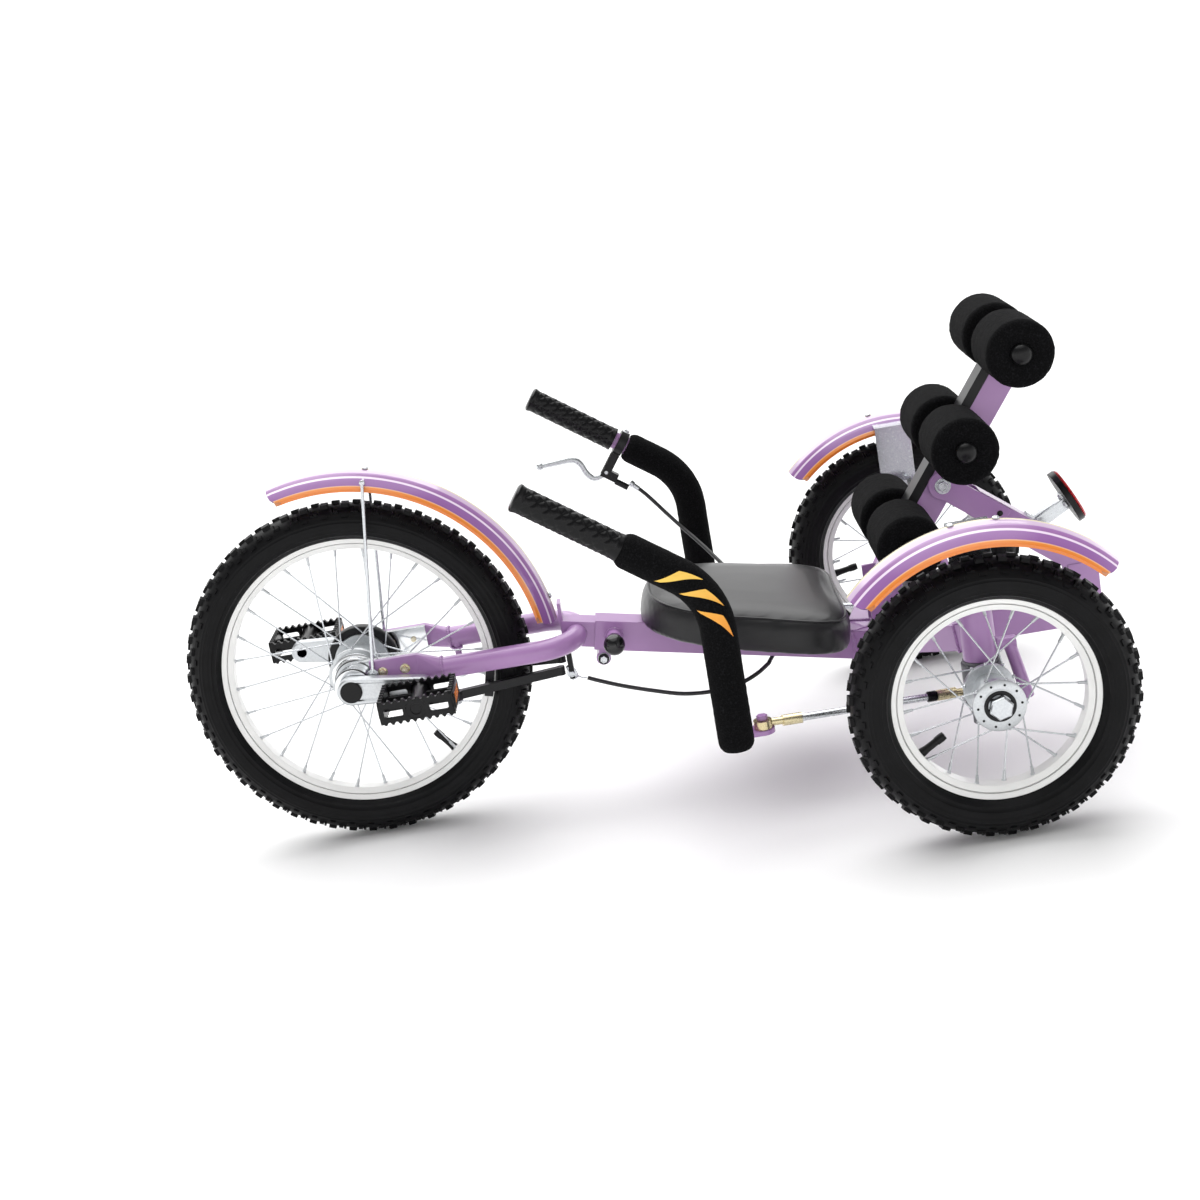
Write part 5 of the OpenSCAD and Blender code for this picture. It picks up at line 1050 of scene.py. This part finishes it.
for side, name, sleeve_past in ((1, "left", 64.7 * mm), (-1, "right", 46 * mm)):
    line = handle_line(side, sleeve_low, sleeve_past)
    radii = sleeve_end + [sleeve_r] * (len(line) - 6) + sleeve_end[::-1]
    points, faces = tube(line, radii, sleeve_sides, hint=Y)
    points = roughened(points, lambda k, p: line[k // sleeve_sides], 0.3 * mm, 2.4 * mm)
    sleeve = piece("foam_sleeve_" + name, [(points, faces)], black_foam, "steering",
                   stands_for=(name + "_sleeve",))
    bars = []
    for number in range(3):
        grid = []
        for i in range(bar_rows):
            narrow = 1 - 0.75 * i / (bar_rows - 1)
            for j in range(-3, 4):
                spot = min(len(line) - 2, bar_first + number * bar_gap + i * 0.62 + j * 1.3 * narrow)
                base = int(spot)
                centre = line[base].lerp(line[base + 1], spot - base)
                over = (line[base + 1] - line[base]).normalized().cross(Y)
                turn = math.radians(90 + (i - 7) * 5.2 + j * (0.4 + 2.6 * narrow))
                out = math.cos(turn) * over + math.sin(turn) * Y * side
                grid.append(centre + out * (sleeve_r + print_lift))
        bars.append((grid, [(k, k + 1, k + 1 + bar_columns, k + bar_columns) for i in range(bar_rows - 1)
                            for k in range(i * bar_columns, (i + 1) * bar_columns - 1)]))
    piece("sleeve_print_" + name, bars, bar_ink, "steering")
    start, points = bend_at(side) + handle_dir * grip_from, []
    for i in range(grip_rows):
        s = grip_len * i / (grip_rows - 1)
        points += [start + handle_dir * s + grip_radius(s, a) * (math.cos(a) * handle_down + math.sin(a) * Y)
                   for a in (2 * math.pi * k / grip_sides for k in range(grip_sides))]
    piece("grip_ribbed_" + name, [(points, sheath(grip_sides, grip_rows))], grip_rubber, "steering",
          stands_for=(name + "_grip",))
piece("bar_welds", [weld(ring_loop(Vector((bar_x, side * y, z)), X, Z, 10.2 * mm), 1.8 * mm)
                    for side in (-1, 1) for y, z in ((14 * mm, 0.1323), (267.5 * mm, 0.1453))],
      lavender_coat, "steering")

# Brake lever: a forged alloy blade pivots in a black perch clamped beside the right grip.
# It is rounded all over and ends in a ball.
lever_root = bend_at(-1) + handle_dir * 54 * mm
lever_spots = [(42, 0), (50, 3), (57, 11), (55, 22), (48, 34), (47, 44), (53, 54), (62, 65), (74, 80)]
blade = flow([lever_root + handle_down * u * mm + handle_dir * v * mm for u, v in lever_spots], 40)
blade_radii = [3.4 * mm + 0.6 * mm * math.sin(math.pi * k / 39) for k in range(40)]
tip_ball = [(5 * math.cos(a), 5 * math.sin(a)) for a in (math.radians(d) for d in range(-75, 76, 15))]
piece("lever_blade", [
    tube(blade, blade_radii, 16, hint=Y), turned([(0, -5)] + tip_ball + [(0, 5)], blade[-1], Y, 20),
    pin(blade[0], Y, 2.4, -5.9, 5.9, 14)], hub_alloy, "lever", stands_for=("brake_lever",))
cable_out = (Vector(lever_run[1]) - Vector(lever_run[0])).normalized()
ferrule = [(2.6, 0), (4.4, 0), (4.4, 5), (3.4, 6), (3.4, 14), (2.6, 14)]
piece("perch_screws", [hex_head(lever_root - handle_down * 15.6 * mm, -handle_down, 6, 3, 0.6),
                       turned(ferrule, Vector(lever_run[0]) * mm, cable_out, 18)],
      zinc_plate, "steering")

# Tie rods and uprights: plated rods with gold rod ends join the bar to the cast uprights,
# which turn on kingpins in the head tubes and carry the rear wheels.
# Rod plate: bright zinc between gold passivated ends, parted by a thread line.
rod_plate, shader = finish("zinc_rod_with_gold_ends", "#C9CCD1", 0.28, Metallic=1.0)
place = node(rod_plate, "ShaderNodeTexCoord")
axes = node(rod_plate, "ShaderNodeSeparateXYZ", {"Vector": place.outputs["Object"]})
share = node(rod_plate, "ShaderNodeMapRange",
             {"Value": axes.outputs["X"], "From Min": -0.375, "From Max": -0.100})
node(rod_plate, "ShaderNodeValToRGB", {"Fac": share.outputs["Result"]},
     [("Color", shader.inputs["Base Color"])],
     [(0.0, "#CDBE93"), (0.228, "#D9CDA9"), (0.232, "#CDD0D4"), (0.772, "#D3D6D9"), (0.776, "#D9CDA9"),
      (1.0, "#CDBE93")])
marks = node(rod_plate, "ShaderNodeTexNoise", {"Vector": place.outputs["Object"], "Scale": 1 / (2 * mm)})
node(rod_plate, "ShaderNodeMapRange", {"Value": marks.outputs["Fac"], "To Min": 0.2, "To Max": 0.36},
     [("Result", shader.inputs["Roughness"])])
dress(rod_plate, "left_tie_rod", "right_tie_rod")
# Ribbed rubber collars keep dirt from the thread of each rear rod end.
tie_front, tie_rear, rod_end_len = Vector((-0.119, 0.220, 0.134)), Vector((-0.355, 0.170, 0.115)), 44 * mm
collar_l, collar_bore, rib_pitch = 11.2, 4.2, 2.6
ribs = [(r, y + rib_pitch * k) for k in range(4) for r, y in ((5.9, 0.6), (5.9, 2.0), (5.1, 2.4), (5.1, 2.8))]
for side, name in hands:
    front, rear = (Vector((p.x, side * p.y, p.z)) for p in (tie_front, tie_rear))
    along = (rear - front).normalized()
    piece("tie_collar_" + name, [turned([(collar_bore, 0)] + ribs + [(collar_bore, collar_l)],
                                        rear - along * (rod_end_len + collar_l * mm), along, 24)],
          grip_rubber, name + "_tie")
# Cast iron: dark, lightly pitted, with a dull sheen.
dark_casting = grained("painted_cast_iron", "#66666A", 0.45, 2.4 * mm, [(0.3, "#57575B"), (0.7, "#747478")],
                       detail=4.0, relief=(0.2 * mm, 0.5), edge=1.2 * mm, Metallic=0.7)
dress(dark_casting, "left_knuckle", "right_knuckle")
